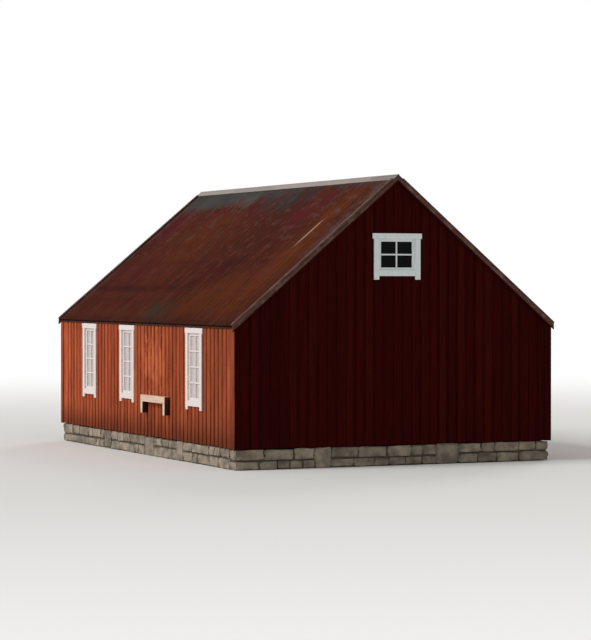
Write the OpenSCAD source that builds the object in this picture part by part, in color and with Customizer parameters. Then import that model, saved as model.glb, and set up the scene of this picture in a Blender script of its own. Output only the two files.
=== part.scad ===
// Timber boathouse with a steep iron roof on a low masonry foundation.
// Millimetres, +Z up. The origin is on the ground, under the middle of the building.
// The front gable faces -Y, the tall windows are in the long walls at -X and +X.

/* [Body] */
// Width across the gable, over the boarding
body_w = 6800; // [6000:50:8000]
// Length from gable to gable, over the boarding
body_l = 10000; // [9200:50:12000]
// Height of the long walls, from the foundation to the underside of the roof
wall_h = 2280; // [2200:10:2700]
// Thickness of a wall, frame and boarding together
wall_t = 120; // [100:5:150]

/* [Foundation] */
// Height of the foundation above the ground
base_h = 400; // [250:10:800]
// Thickness of a foundation wall
base_t = 320; // [250:10:450]
// How far the foundation stands back behind the boarding
base_inset = 20; // [0:5:40]

/* [Floors] */
// Thickness of the ground floor planks
floor_t = 50; // [30:5:80]
// Thickness of the loft floor boards
loft_t = 35; // [25:1:45]

/* [Roof] */
// Slope of the roof, in degrees
roof_pitch = 39.8; // [34:0.1:44]
// Thickness of the roof boarding and its battens
deck_t = 65; // [50:5:90]
// Depth of the corrugated sheets
sheet_t = 20; // [16:1:30]
// How far the sheets reach past a long wall
eave_over = 65; // [60:5:200]
// How far the roof boarding reaches past a long wall
deck_over = 20; // [20:5:50]
// How far the roof boarding reaches past a gable
verge_over = 30; // [25:5:80]
// Length of one side of the ridge cap, down the slope
ridge_flange = 150; // [100:5:220]
// Thickness of the ridge cap
ridge_t = 10; // [6:1:14]

/* [Verges] */
// Thickness of a barge board
barge_t = 25; // [20:1:35]
// Depth of a barge board, square to the slope
barge_h = 100; // [90:5:160]
// Width of the cover board on a verge
cover_w = 110; // [80:5:150]
// Thickness of the cover board
cover_t = 22; // [16:1:30]
// How far the cover board stands out past the barge board
cover_lip = 10; // [5:1:25]

/* [Roof frame] */
// Number of trusses
truss_n = 5; // [3:1:9]
// Distance from a gable wall to the middle of the first truss
truss_end = 500; // [300:50:900]
// Width of a rafter
rafter_w = 75; // [50:5:100]
// Depth of a rafter, square to the slope
rafter_h = 120; // [100:5:160]
// Height of the upright cut at a rafter's foot
rafter_foot = 80; // [60:5:95]
// Width of a tie beam
tie_w = 120; // [80:5:150]
// Height of a tie beam
tie_h = 150; // [120:5:200]
// Width of a post under a tie beam, each way
post_w = 120; // [90:5:160]
// Width of the ridge beam
ridge_beam_w = 50; // [40:5:80]
// Height of the ridge beam
ridge_beam_h = 200; // [160:10:260]

/* [Gable windows] */
// Width of the hole in the gable
gable_win_w = 800; // [700:10:1000]
// Height of the hole in the gable
gable_win_h = 630; // [500:5:750]
// Height of the hole's lower edge above the loft floor
gable_sill = 1032; // [800:2:1150]
// Panes across a gable window
gable_cols = 2; // [1:1:3]
// Panes up a gable window
gable_rows = 2; // [1:1:3]

/* [Tall windows] */
// Width of the hole in a long wall
tall_win_w = 640; // [550:10:800]
// Height of the hole in a long wall
tall_win_h = 1340; // [1000:5:1400]
// Gap between the head board and the roof
tall_head_gap = 25; // [20:5:60]
// Middle of the first window, from the front corner
tall_first = 2040; // [1200:10:2600]
// Middle of the second window, from the back corner
tall_second = 4210; // [3600:10:4400]
// Middle of the third window, from the back corner
tall_third = 1880; // [1200:10:2300]
// Panes across a tall window
tall_cols = 2; // [1:1:3]
// Panes up a tall window
tall_rows = 4; // [2:1:6]

/* [Window joinery] */
// Width of the boards round a window
trim_w = 110; // [90:5:150]
// Height of the board over a window
head_h = 105; // [100:5:160]
// Thickness of the boards round a window
trim_t = 25; // [18:1:35]
// How far the boards reach over the edge of the hole
trim_lap = 10; // [5:1:20]
// How far the head board passes the side boards
head_ear = 30; // [0:5:60]
// How far the side boards pass the bottom board
foot_ear = 70; // [0:5:120]
// Width of the wood round the glass
sash_w = 65; // [45:1:80]
// Depth of the wood round the glass
sash_d = 60; // [45:1:75]
// Depth of the wood in front of the glass
sash_lip = 22; // [12:1:30]
// How far the glass runs in behind the wood
glass_bite = 8; // [4:1:15]
// Thickness of the glass
glass_t = 5; // [3:1:8]
// How far the wood stands back behind the boarding
sash_reveal = 15; // [0:1:30]
// Width of a glazing bar
bar_w = 30; // [20:1:45]

/* [Boat doors] */
// Width of the doorway in the back gable
door_w = 2800; // [2200:50:3400]
// Height of the doorway
door_h = 2100; // [1900:10:2140]
// Width of the posts and head of the door frame
jamb_w = 70; // [50:5:100]
// Height of the threshold
threshold_h = 60; // [50:5:90]
// Thickness of a door leaf
leaf_t = 45; // [35:1:60]
// Running gap round a leaf
leaf_gap = 4; // [2:0.5:8]
// Width of the boards round the doorway
door_trim_w = 120; // [90:5:150]
// Length of a strap hinge
strap_l = 700; // [500:10:900]
// Height of a strap hinge
strap_h = 50; // [40:1:70]
// Thickness of a strap hinge
strap_t = 6; // [4:1:10]
// Distance of the straps from the leaf's top and bottom
strap_end = 300; // [200:10:450]

/* [Wall shelf] */
// Length of the shelf on the left wall
shelf_l = 1360; // [1000:10:1500]
// How far the shelf stands out from the wall
shelf_d = 120; // [60:5:120]
// Thickness of the shelf board
shelf_t = 35; // [25:1:50]
// Height of the rail under the shelf's front edge
rail_h = 100; // [50:5:110]
// Thickness of that rail
rail_t = 25; // [18:1:35]
// Gap between the shelf and the side board of the second window
shelf_gap = 665; // [150:5:680]
// Top of the shelf above the foundation
shelf_z = 850; // [700:10:1000]
// Height of a bracket
bracket_h = 335; // [250:5:500]
// Thickness of a bracket
bracket_t = 110; // [40:5:120]

/* [Corner boards] */
// Width of a corner board
corner_w = 120; // [90:5:150]
// How far a corner board stands out from the boarding
corner_t = 20; // [15:1:20]

/* [Hidden] */

half_w = body_w / 2;
half_l = body_l / 2;
in_w = half_w - wall_t;
in_l = half_l - wall_t;

// Longer than any wall is thick, so that a cut goes right through
through = 400;
// Joint left open where two boards meet at the ridge
board_joint = 2;
// Room between the loft floor and the rafters
loft_fit = 8;

wall_top = base_h + wall_h;
slope = tan(roof_pitch);
// Height of the deck's underside, x mm from the middle
function roof_z(x) = wall_top + (half_w - x) * slope;
// Upright height of a layer that is t thick square to the slope
function upright(t) = t / cos(roof_pitch);

tie_top = roof_z(in_w) - rafter_foot;
loft_top = tie_top + loft_t;
// Where the rafters' underside comes down to a height z
function rafter_x(z) = half_w - (z + upright(rafter_h) - wall_top) / slope;

eave_x = half_w + eave_over;
deck_x = half_w + deck_over;
deck_y = half_l + verge_over;
barge_y = deck_y + barge_t;
verge_y = barge_y + cover_lip;
cover_x = ridge_flange * cos(roof_pitch);
sheet_top = deck_t + sheet_t;

gable_z = loft_top + gable_sill;
tall_z = wall_top - tall_head_gap - head_h + trim_lap - tall_win_h;
tall_y = [tall_first - half_l, half_l - tall_second, half_l - tall_third];

// Lower end of the shelf along the wall, and the undersides of its board and brackets
shelf_y = tall_y[1] - tall_win_w / 2 + trim_lap - trim_w - shelf_gap - shelf_l;
shelf_top = base_h + shelf_z;
shelf_under = shelf_top - shelf_t;
shelf_x = -half_w - shelf_d;

truss_step = 2 * (in_l - truss_end) / (truss_n - 1);
truss_y = [for (i = [0 : truss_n - 1]) truss_end - in_l + i * truss_step];

RED_SHADE = "#5c1713";
RED_SUN = "#a04a2e";
WHITE = "#e6dfda";
STONE = "#8d8a84";
TIMBER = "#8a6b4c";
ROOF = "#57302a";
ZINC = "#b9aaa4";
IRON = "#2c2826";
GLASS = "#a9bcc0";

// A flat XZ outline run along Y, from y0 to y1
module along_y(y0, y1) {
    translate([0, y1, 0]) rotate([90, 0, 0]) linear_extrude(height = y1 - y0) children();
}

module block(low, high) {
    translate(low) cube(high - low);
}

module both_sides() {
    children();
    mirror([1, 0, 0]) children();
}

// One layer of the roof, seen from the front: low and high are square to the slope
module slope_layer(low, high, x0, x1) {
    polygon([
        [x0, roof_z(x0) + upright(low)],
        [x1, roof_z(x1) + upright(low)],
        [x1, roof_z(x1) + upright(high)],
        [x0, roof_z(x0) + upright(high)]
    ]);
}

// Foundation

module foundation_end() {
    color(STONE) block(
        [base_inset - half_w, base_inset - half_l, 0],
        [half_w - base_inset, base_inset + base_t - half_l, base_h]);
}

module foundation_side() {
    end_y = half_l - base_inset - base_t;
    color(STONE) block(
        [base_inset - half_w, -end_y, 0],
        [base_inset + base_t - half_w, end_y, base_h]);
}

// Floors

module ground_floor() {
    color(TIMBER) block([-in_w, -in_l, base_h], [in_w, in_l, base_h + floor_t]);
}

module loft_floor() {
    loft_x = rafter_x(loft_top) - loft_fit;
    color(TIMBER) block([-loft_x, -in_l, tie_top], [loft_x, in_l, loft_top]);
}

// Walls

module gable_outline() {
    polygon([
        [-half_w, base_h], [half_w, base_h], [half_w, wall_top],
        [0, roof_z(0)], [-half_w, wall_top]
    ]);
}

module gable_hole() {
    translate([-gable_win_w / 2, gable_z]) square([gable_win_w, gable_win_h]);
}

module front_wall() {
    color(RED_SHADE) along_y(-half_l, -in_l) difference() {
        gable_outline();
        gable_hole();
    }
}

// The part of the back gable between x0 and x1, over the height z0
module back_wall_part(x0, x1, z0) {
    color(RED_SHADE) along_y(in_l, half_l) difference() {
        intersection() {
            gable_outline();
            translate([x0, z0]) square([x1 - x0, roof_z(0)]);
        }
        gable_hole();
    }
}

module side_wall() {
    color(RED_SUN) difference() {
        along_y(-in_l, in_l) polygon([
            [-half_w, base_h], [-in_w, base_h], [-in_w, roof_z(in_w)], [-half_w, wall_top]
        ]);
        for (y = tall_y) block(
            [-half_w - through, y - tall_win_w / 2, tall_z],
            [-half_w + through, y + tall_win_w / 2, tall_z + tall_win_h]);
    }
}

// Two boards that meet in an L round the front left corner
module corner_board() {
    board_x = half_w + corner_t;
    along_y(-half_l - corner_t, -half_l) polygon([
        [-board_x, base_h], [corner_w - half_w, base_h],
        [corner_w - half_w, roof_z(half_w - corner_w)], [-board_x, roof_z(board_x)]
    ]);
    along_y(-half_l, corner_w - half_l) polygon([
        [-board_x, base_h], [-half_w, base_h], [-half_w, wall_top], [-board_x, roof_z(board_x)]
    ]);
}

module corner_boards() {
    color(RED_SUN) both_sides() {
        corner_board();
        mirror([0, 1, 0]) corner_board();
    }
}

// Roof frame

module wall_posts() {
    color(TIMBER) both_sides() for (y = truss_y) block(
        [in_w - post_w, y - post_w / 2, base_h + floor_t],
        [in_w, y + post_w / 2, tie_top - tie_h]);
}

module tie_beams() {
    color(TIMBER) for (y = truss_y) block(
        [-in_w, y - tie_w / 2, tie_top - tie_h],
        [in_w, y + tie_w / 2, tie_top]);
}

module rafters() {
    color(TIMBER) both_sides() for (y = truss_y)
        along_y(y - rafter_w / 2, y + rafter_w / 2) intersection() {
            slope_layer(-rafter_h, 0, 0, half_w);
            translate([ridge_beam_w / 2, tie_top]) square([in_w - ridge_beam_w / 2, roof_z(0)]);
        }
}

module ridge_beam() {
    beam_top = roof_z(ridge_beam_w / 2);
    color(TIMBER) block(
        [-ridge_beam_w / 2, -in_l, beam_top - ridge_beam_h],
        [ridge_beam_w / 2, in_l, beam_top]);
}

// Roof covering

module roof_deck() {
    color(TIMBER) along_y(-deck_y, deck_y) slope_layer(0, deck_t, 0, deck_x);
}

module roof_sheets() {
    color(ROOF) along_y(-deck_y, deck_y) slope_layer(deck_t, sheet_top, 0, eave_x);
}

module ridge_cap() {
    low = upright(sheet_top);
    high = upright(sheet_top + ridge_t);
    edge_z = roof_z(cover_x);
    color(ZINC) along_y(-verge_y, verge_y) polygon([
        [-cover_x, edge_z + low], [0, roof_z(0) + low], [cover_x, edge_z + low],
        [cover_x, edge_z + high], [0, roof_z(0) + high], [-cover_x, edge_z + high]
    ]);
}

module barge_boards() {
    color(RED_SHADE) both_sides() along_y(-barge_y, -deck_y)
        slope_layer(sheet_top - barge_h, sheet_top, board_joint / 2, eave_x);
}

module verge_covers() {
    color(RED_SHADE) both_sides() along_y(-verge_y, cover_w - verge_y)
        slope_layer(sheet_top, sheet_top + cover_t, cover_x, eave_x);
}

// Windows, drawn with the hole's lower edge on the origin and the wall's face at y = 0

module window_trim(w, h) {
    in_x = w / 2 - trim_lap;
    out_x = in_x + trim_w;
    head_x = out_x + head_ear;
    top = h - trim_lap;
    foot = trim_lap - trim_w;
    color(WHITE) along_y(-trim_t, 0) difference() {
        polygon([
            [-head_x, top + head_h], [head_x, top + head_h], [head_x, top], [out_x, top],
            [out_x, foot - foot_ear], [in_x, foot - foot_ear], [in_x, foot],
            [-in_x, foot], [-in_x, foot - foot_ear], [-out_x, foot - foot_ear],
            [-out_x, top], [-head_x, top]
        ]);
        translate([-in_x, trim_lap]) square([2 * in_x, top - trim_lap]);
    }
}

module window_sash(w, h, cols, rows) {
    pane_w = (w - 2 * sash_w - (cols - 1) * bar_w) / cols;
    pane_h = (h - 2 * sash_w - (rows - 1) * bar_w) / rows;
    rebate = sash_w - glass_bite;
    color(WHITE) difference() {
        along_y(sash_reveal, sash_reveal + sash_d) translate([-w / 2, 0]) square([w, h]);
        for (i = [0 : cols - 1], j = [0 : rows - 1])
            translate([i * (pane_w + bar_w) + sash_w - w / 2, 0, j * (pane_h + bar_w) + sash_w])
                cube([pane_w, through, pane_h]);
        translate([rebate - w / 2, sash_reveal + sash_lip, rebate])
            cube([w - 2 * rebate, through, h - 2 * rebate]);
    }
}

module window_glass(w, h) {
    rebate = sash_w - glass_bite;
    glass_y = sash_reveal + sash_lip;
    color(GLASS) block(
        [rebate - w / 2, glass_y, rebate],
        [w / 2 - rebate, glass_y + glass_t, h - rebate]);
}

module at_gable() {
    translate([0, -half_l, gable_z]) children();
}

module at_tall_windows() {
    for (y = tall_y) translate([-half_w, y, tall_z]) rotate([0, 0, -90]) children();
}

// Shelf on the left wall, with its back on the boarding

module shelf_board() {
    color("#c9a786") union() {
        block([shelf_x, shelf_y, shelf_under], [-half_w, shelf_y + shelf_l, shelf_top]);
        block([shelf_x, shelf_y, shelf_under - rail_h],
            [shelf_x + rail_t, shelf_y + shelf_l, shelf_under]);
    }
}

module shelf_brackets() {
    foot = shelf_under - bracket_h;
    color("#c9a786") for (y = [shelf_y, shelf_y + shelf_l - bracket_t]) union() {
        block([shelf_x + rail_t, y, foot], [-half_w, y + bracket_t, shelf_under]);
        block([shelf_x, y, foot], [shelf_x + rail_t, y + bracket_t, shelf_under - rail_h]);
    }
}

// Boat doors in the back gable

leaf_top = base_h + door_h - jamb_w - leaf_gap;
leaf_low = base_h + threshold_h + leaf_gap;
leaf_x = door_w / 2 - jamb_w - leaf_gap;

module door_frame() {
    color(WHITE) along_y(in_l, half_l) difference() {
        translate([-door_w / 2, base_h]) square([door_w, door_h]);
        translate([jamb_w - door_w / 2, base_h + threshold_h])
            square([door_w - 2 * jamb_w, door_h - jamb_w - threshold_h]);
    }
}

module door_trim() {
    in_x = door_w / 2 - trim_lap;
    out_x = in_x + door_trim_w;
    top = base_h + door_h - trim_lap;
    color(WHITE) along_y(half_l, half_l + trim_t) polygon([
        [-out_x - head_ear, top + head_h], [out_x + head_ear, top + head_h],
        [out_x + head_ear, top], [out_x, top], [out_x, base_h], [in_x, base_h],
        [in_x, top], [-in_x, top], [-in_x, base_h], [-out_x, base_h],
        [-out_x, top], [-out_x - head_ear, top]
    ]);
}

module boat_door() {
    color(RED_SHADE) block(
        [leaf_gap / 2, half_l - leaf_t, leaf_low],
        [leaf_x, half_l, leaf_top]);
}

module door_hinges() {
    strap_x = door_w / 2 - trim_lap;
    color(IRON) both_sides() for (z = [leaf_low + strap_end, leaf_top - strap_end])
        block([strap_x - strap_l, half_l, z - strap_h / 2],
            [strap_x, half_l + strap_t, z + strap_h / 2]);
}

foundation_end();  // foundation_front
mirror([0, 1, 0]) foundation_end();  // foundation_back
foundation_side();  // foundation_left
mirror([1, 0, 0]) foundation_side();  // foundation_right
ground_floor();
front_wall();
back_wall_part(-half_w, -door_w / 2, base_h);  // back_wall_left
back_wall_part(door_w / 2, half_w, base_h);  // back_wall_right
back_wall_part(-door_w / 2, door_w / 2, base_h + door_h);  // back_wall_top
side_wall();  // left_wall
mirror([1, 0, 0]) side_wall();  // right_wall
corner_boards();
wall_posts();
tie_beams();
loft_floor();
rafters();
ridge_beam();
mirror([1, 0, 0]) roof_deck();  // left_roof_deck
roof_deck();  // right_roof_deck
mirror([1, 0, 0]) roof_sheets();  // left_roof_sheets
roof_sheets();  // right_roof_sheets
ridge_cap();
barge_boards();  // front_barge_boards
mirror([0, 1, 0]) barge_boards();  // back_barge_boards
verge_covers();  // front_verge_covers
mirror([0, 1, 0]) verge_covers();  // back_verge_covers
at_gable() window_trim(gable_win_w, gable_win_h);  // front_window_trim
at_gable() window_sash(gable_win_w, gable_win_h, gable_cols, gable_rows);  // front_window_sash
at_gable() window_glass(gable_win_w, gable_win_h);  // front_window_glass
mirror([0, 1, 0]) at_gable() window_trim(gable_win_w, gable_win_h);  // back_window_trim
mirror([0, 1, 0]) at_gable() window_sash(gable_win_w, gable_win_h, gable_cols, gable_rows);  // back_window_sash
mirror([0, 1, 0]) at_gable() window_glass(gable_win_w, gable_win_h);  // back_window_glass
at_tall_windows() window_trim(tall_win_w, tall_win_h);  // left_window_trims
at_tall_windows() window_sash(tall_win_w, tall_win_h, tall_cols, tall_rows);  // left_window_sashes
at_tall_windows() window_glass(tall_win_w, tall_win_h);  // left_window_glass
mirror([1, 0, 0]) at_tall_windows() window_trim(tall_win_w, tall_win_h);  // right_window_trims
mirror([1, 0, 0]) at_tall_windows() window_sash(tall_win_w, tall_win_h, tall_cols, tall_rows);  // right_window_sashes
mirror([1, 0, 0]) at_tall_windows() window_glass(tall_win_w, tall_win_h);  // right_window_glass
shelf_board();
shelf_brackets();
door_frame();
door_trim();
mirror([1, 0, 0]) boat_door();  // boat_door_left
boat_door();  // boat_door_right
door_hinges();
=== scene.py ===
"""Dresses the boathouse: boarding, iron roof, joinery, stonework, paint, and the stage round it.

It is laid out as an add-on and run as a script. Lengths are metres, +Z up, the front gable faces -Y.
"""

import math
import random
from contextlib import contextmanager
from functools import partial

import bmesh
import bpy
from bpy.props import FloatProperty, FloatVectorProperty, IntProperty, PointerProperty
from mathutils import Matrix, Vector


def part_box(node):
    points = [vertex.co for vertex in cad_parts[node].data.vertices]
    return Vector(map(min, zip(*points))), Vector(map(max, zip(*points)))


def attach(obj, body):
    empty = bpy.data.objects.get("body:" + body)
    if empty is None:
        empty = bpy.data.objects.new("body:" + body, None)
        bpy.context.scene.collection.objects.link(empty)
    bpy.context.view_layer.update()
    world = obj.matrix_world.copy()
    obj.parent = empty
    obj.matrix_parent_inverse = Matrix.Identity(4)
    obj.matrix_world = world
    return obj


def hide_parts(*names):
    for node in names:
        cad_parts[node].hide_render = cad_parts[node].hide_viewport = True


bl_info = {
    "name": "Boathouse dresser",
    "version": (1, 0, 0),
    "blender": (4, 5, 0),
    "location": "View3D > Sidebar > Boathouse",
    "description": "Gives the boathouse its boards, iron sheets, windows, stones and paint",
    "category": "Object",
}

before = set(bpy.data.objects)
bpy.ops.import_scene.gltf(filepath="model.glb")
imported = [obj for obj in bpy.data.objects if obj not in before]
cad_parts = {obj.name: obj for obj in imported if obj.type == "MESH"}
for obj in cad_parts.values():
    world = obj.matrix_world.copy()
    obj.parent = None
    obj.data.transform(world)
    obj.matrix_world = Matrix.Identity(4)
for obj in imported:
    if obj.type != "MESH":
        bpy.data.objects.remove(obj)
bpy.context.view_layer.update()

# Places that the frame gives

FRONT_LOW, FRONT_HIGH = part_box("front_wall")
_, SIDE_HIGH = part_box("left_wall")
DECK_LOW, DECK_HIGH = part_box("left_roof_deck")
SHEET_LOW, SHEET_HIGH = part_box("left_roof_sheets")
CAP_LOW, CAP_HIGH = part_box("ridge_cap")
DOOR_LOW, DOOR_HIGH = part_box("door_frame")
SASH_LOW, SASH_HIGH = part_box("front_window_sash")
GLASS_LOW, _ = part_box("front_window_glass")
TALL_LOW, TALL_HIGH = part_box("left_window_sashes")
_, TALL_GLASS_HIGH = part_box("left_window_glass")

HALF_W = FRONT_HIGH.x
HALF_L = -FRONT_LOW.y
IN_W = -SIDE_HIGH.x
IN_L = -FRONT_HIGH.y
BASE_TOP = FRONT_LOW.z
APEX = FRONT_HIGH.z
SLOPE = (APEX - SIDE_HIGH.z) / IN_W
PITCH = math.atan(SLOPE)
COS = math.cos(PITCH)
SIN = math.sin(PITCH)
WALL_TOP = APEX - HALF_W * SLOPE
DECK_END = -DECK_LOW.y
DECK_T = (DECK_HIGH.z - APEX) * COS
DECK_FOOT = -DECK_LOW.x / COS
BATTENS_FOOT = DECK_FOOT - DECK_T * SLOPE
SHEET_END = -SHEET_LOW.y
SHEET_TOP = (SHEET_HIGH.z - APEX) * COS

# How far the glass ends inside the hole, the same at every window
GLASS_EDGE = GLASS_LOW.x - SASH_LOW.x

# A gap or a step that is too small to see, also the reach of a test of place
HAIR = 0.001


def tall_window_middles():
    """Middles of the tall windows along the wall, from the lowest to the highest Y."""
    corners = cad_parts["left_window_glass"].data.vertices
    ends = sorted({round(corner.co.y, 3) for corner in corners})
    return [(low + high) / 2 for low, high in zip(ends[::2], ends[1::2])]


TALL_Y = tall_window_middles()
TALL_W = (TALL_GLASS_HIGH.y - TALL_Y[-1] + GLASS_EDGE) * 2
TALL_H = TALL_HIGH.z - TALL_LOW.z
GABLE_W = SASH_HIGH.x - SASH_LOW.x
GABLE_H = SASH_HIGH.z - SASH_LOW.z

# Each wall's own place: X runs along the wall, -Y is outwards, and Y = 0 is the face of the boarding
WALLS = {
    "front": Matrix.Translation((0, -HALF_L, 0)),
    "back": Matrix.Translation((0, HALF_L, 0)) @ Matrix.Rotation(math.pi, 4, "Z"),
    "left": Matrix.Translation((-HALF_W, 0, 0)) @ Matrix.Rotation(-math.pi / 2, 4, "Z"),
    "right": Matrix.Translation((HALF_W, 0, 0)) @ Matrix.Rotation(math.pi / 2, 4, "Z"),
}

# The two slopes: X runs down the slope from the ridge, and Z = 0 is the underside of the roof boards
RIGHT_SLOPE = Matrix(((COS, 0, SIN, 0), (0, 1, 0, 0), (-SIN, 0, COS, APEX), (0, 0, 0, 1)))
SLOPES = {"right": RIGHT_SLOPE, "left": Matrix.Rotation(math.pi, 4, "Z") @ RIGHT_SLOPE}


def linear(text):
    """An sRGB hex colour as the linear values that Blender takes."""
    values = [int(text[i:i + 2], 16) / 255 for i in (1, 3, 5)]
    curve = [v / 12.92 if v <= 0.04045 else ((v + 0.055) / 1.055) ** 2.4 for v in values]
    return (*curve, 1.0)


def size(name, description, default):
    """A length that a user may change."""
    return FloatProperty(name=name, description=description, default=default, min=0.0, unit="LENGTH")


def count(name, description, default, least=2):
    """A number of like pieces that a user may change."""
    return IntProperty(name=name, description=description, default=default, min=least)


def strength(name, description, default):
    """The strength of a light that a user may change."""
    return FloatProperty(name=name, description=description, default=default, min=0.0)


def colour(name, description, default):
    """A colour that a user may change, given as sRGB hex."""
    return FloatVectorProperty(
        name=name, description=description, default=linear(default),
        size=4, min=0.0, max=1.0, subtype="COLOR")


def point(name, description, default):
    """A place that a user may change."""
    return FloatVectorProperty(
        name=name, description=description, default=default, size=3, subtype="TRANSLATION", unit="LENGTH")


# Settings

class BoardingSettings(bpy.types.PropertyGroup):
    pitch: size("Pitch", "Distance from one outer board to the next", 0.2)
    board_w: size("Board width", "Width of a wall board", 0.14)
    board_t: size("Board thickness", "Thickness of a wall board", 0.018)
    ease: size("Eased edge", "Width of the eased edge of a board", 0.003)
    unevenness: size("Uneven ends", "How much the boards' lower ends differ", 0.012)
    floor_w: size("Floor plank width", "Width of a floor plank", 0.15)


class RoofSettings(bpy.types.PropertyGroup):
    sheets: count("Sheets", "Sheets side by side in a row", 13)
    cover: count("Waves", "Waves that a sheet covers", 10, 4)
    wave_h: size("Wave height", "Depth of the corrugation", 0.014)
    metal: size("Sheet thickness", "Thickness of the iron, drawn heavier than real", 0.0012)
    lap_down: size("Row end", "Distance from the ridge to the lower end of the upper row", 3.39)
    lap: size("End lap", "How far the upper row covers the lower one", 0.15)
    deck_board_w: size("Roof board width", "Width of a board under the sheets", 0.12)
    deck_board_t: size("Roof board thickness", "Thickness of a board under the sheets", 0.025)
    battens: count("Battens", "Battens on each slope", 8, 3)
    batten_w: size("Batten width", "Width of a batten between the boards and the sheets", 0.05)
    nail_step: count("Nail spacing", "Waves from one nail to the next", 3, 1)
    nail_r: size("Washer radius", "Radius of the washer under a roofing nail", 0.011)
    nail_h: size("Nail height", "Height of a nail's head and washer", 0.007)
    cap_lap: size("Cap lap", "How far one length of the ridge cap covers the next", 0.07)
    cap_roll: size("Cap roll", "Radius of the roll on top of the ridge cap", 0.022)
    cap_t: size("Cap thickness", "Thickness of the ridge cap, drawn heavier than real", 0.0015)


class WindowSettings(bpy.types.PropertyGroup):
    trim_w: size("Surround width", "Width of the boards round a window", 0.11)
    trim_t: size("Surround thickness", "Thickness of the boards round a window", 0.025)
    trim_lap: size("Surround lap", "How far the boards reach over the hole", 0.01)
    head_h: size("Head board", "Height of the board over a window", 0.105)
    head_ear: size("Head ear", "How far the head board passes the side boards", 0.03)
    foot_ear: size("Foot ear", "How far the side boards pass the bottom board", 0.07)
    lining_t: size("Lining", "Thickness of the boards that line a hole", 0.013)
    sash_w: size("Sash width", "Width of the wood round the glass", 0.065)
    sash_d: size("Sash depth", "Depth of the wood round the glass", 0.06)
    reveal: size("Reveal", "How far the sash stands back behind the boarding", 0.015)
    lip: size("Lip", "Depth of the wood in front of the glass", 0.022)
    bar_w: size("Bar width", "Width of a glazing bar", 0.03)
    pane_t: size("Pane thickness", "Thickness of a pane", 0.003)
    bite: size("Pane bite", "How far a pane reaches into the wood round it", 0.006)
    ease: size("Eased edge", "Width of the eased edges", 0.003)


class DoorSettings(bpy.types.PropertyGroup):
    planks: count("Planks", "Planks of a door leaf", 10)
    plank_t: size("Plank thickness", "Thickness of a plank of a door leaf", 0.026)
    ledge_h: size("Ledge height", "Height of a ledge on the back of a leaf", 0.14)
    ledge_in: size("Ledge distance", "Distance of the outer ledges from the ends of a leaf", 0.15)
    strap_l: size("Strap length", "Length of a strap hinge", 0.7)
    strap_h: size("Strap height", "Height of a strap hinge at its broad end", 0.05)
    eye_r: size("Strap end", "Radius of the round end of a strap hinge", 0.022)
    bolt_r: size("Bolt radius", "Radius of a bolt head on a strap hinge", 0.009)
    bolt_h: size("Bolt height", "Height of a bolt head on a strap hinge", 0.006)


class StoneSettings(bpy.types.PropertyGroup):
    shortest: size("Shortest stone", "Length of the shortest stone", 0.24)
    longest: size("Longest stone", "Length of the longest stone", 0.62)
    joint: size("Joint", "Width of a mortar joint", 0.022)
    recess: size("Recess", "How far the mortar stands back", 0.034)


class PaintSettings(bpy.types.PropertyGroup):
    sun_red: colour("Sunny red", "Red of the long walls", "#974628")
    sun_red_light: colour("Bleached red", "Palest streaks of the long walls", "#AA5736")
    sun_red_dark: colour("Dark red", "Darkest streaks of the long walls", "#78351D")
    # The gable red is darker than the long walls' red to stand in for the gables' shade: painted shade
    painted_shade_red: colour("Gable red", "Red of the gables and the boat doors", "#340705")
    rust: colour("Rust", "Main brown of the roof", "#4A2016")
    orange_rust: colour("Fresh rust", "Orange streaks of the roof", "#633012")
    crimson: colour("Old paint", "Crimson patches left on the roof", "#5A1E24")
    zinc: colour("Zinc", "Grey of the sheets under the ridge", "#464948")
    moss: colour("Moss", "Dark olive of the moss at the foot of the roof", "#332D21")
    lichen: colour("Lichen", "Grey of the lichen along the verges", "#655850")
    scratch: colour("Scratch", "Pale brown of the scraped sheet", "#B8977E")
    ridge: colour("Ridge cap", "Pale grey of the ridge cap", "#978C85")
    verge: colour("Verges", "Weathered brown of the verge boards", "#60423A")
    # The gable white is tinted cool as painted shade, the warm white warm and pinkish as painted sunlight
    white: colour("White", "White of the gable windows and the door frame", "#E8F0EE")
    painted_sunlight_white: colour("Warm white", "White of the tall windows, warmed by the sun", "#E8DDD9")
    cream: colour("Cream", "Cream of the wall shelf", "#E0BFA8")
    stone: colour("Stone", "Grey of the foundation stones", "#8A7E6F")
    timber: colour("Timber", "Brown of the bare timber inside", "#8B6A48")


class StageSettings(bpy.types.PropertyGroup):
    lens: FloatProperty(
        name="Lens", description="Focal length of the camera, in millimetres", default=139.0, min=20.0)
    eye: point("Camera place", "Where the camera stands", (-21.41, -47.76, 3.52))
    aim: point("Aim", "Point that the camera looks at", (0.1, 0.0, 2.75))
    sky: strength("Sky light", "Strength of the soft light from all round", 0.42)
    sun: strength("Low sun", "Strength of the light on the left wall", 1.9)
    back: strength("Back light", "Strength of the light on the far sides", 0.5)
    floor_r: size("Floor radius", "Radius of the pale floor", 300.0)


def wave_w(roof):
    """Width of one wave: the sheets of a row, with a wave more than they cover, fill the roof's length."""
    return 2 * SHEET_END / (roof.sheets * roof.cover + 1)


def batten_step(roof):
    """Distance down the slope from one batten to the next."""
    return (BATTENS_FOOT - roof.batten_w) / (roof.battens - 1)


# Modelling helpers

def select_only(*objects):
    """Selects these objects and nothing else, the last one active."""
    bpy.ops.object.select_all(action="DESELECT")
    for obj in objects:
        obj.select_set(True)
    bpy.context.view_layer.objects.active = objects[-1]


@contextmanager
def editing(piece):
    """Edit mode on one piece, with all of it selected."""
    select_only(piece)
    bpy.ops.object.mode_set(mode="EDIT")
    bpy.ops.mesh.select_all(action="SELECT")
    yield
    bpy.ops.object.mode_set(mode="OBJECT")


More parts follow.
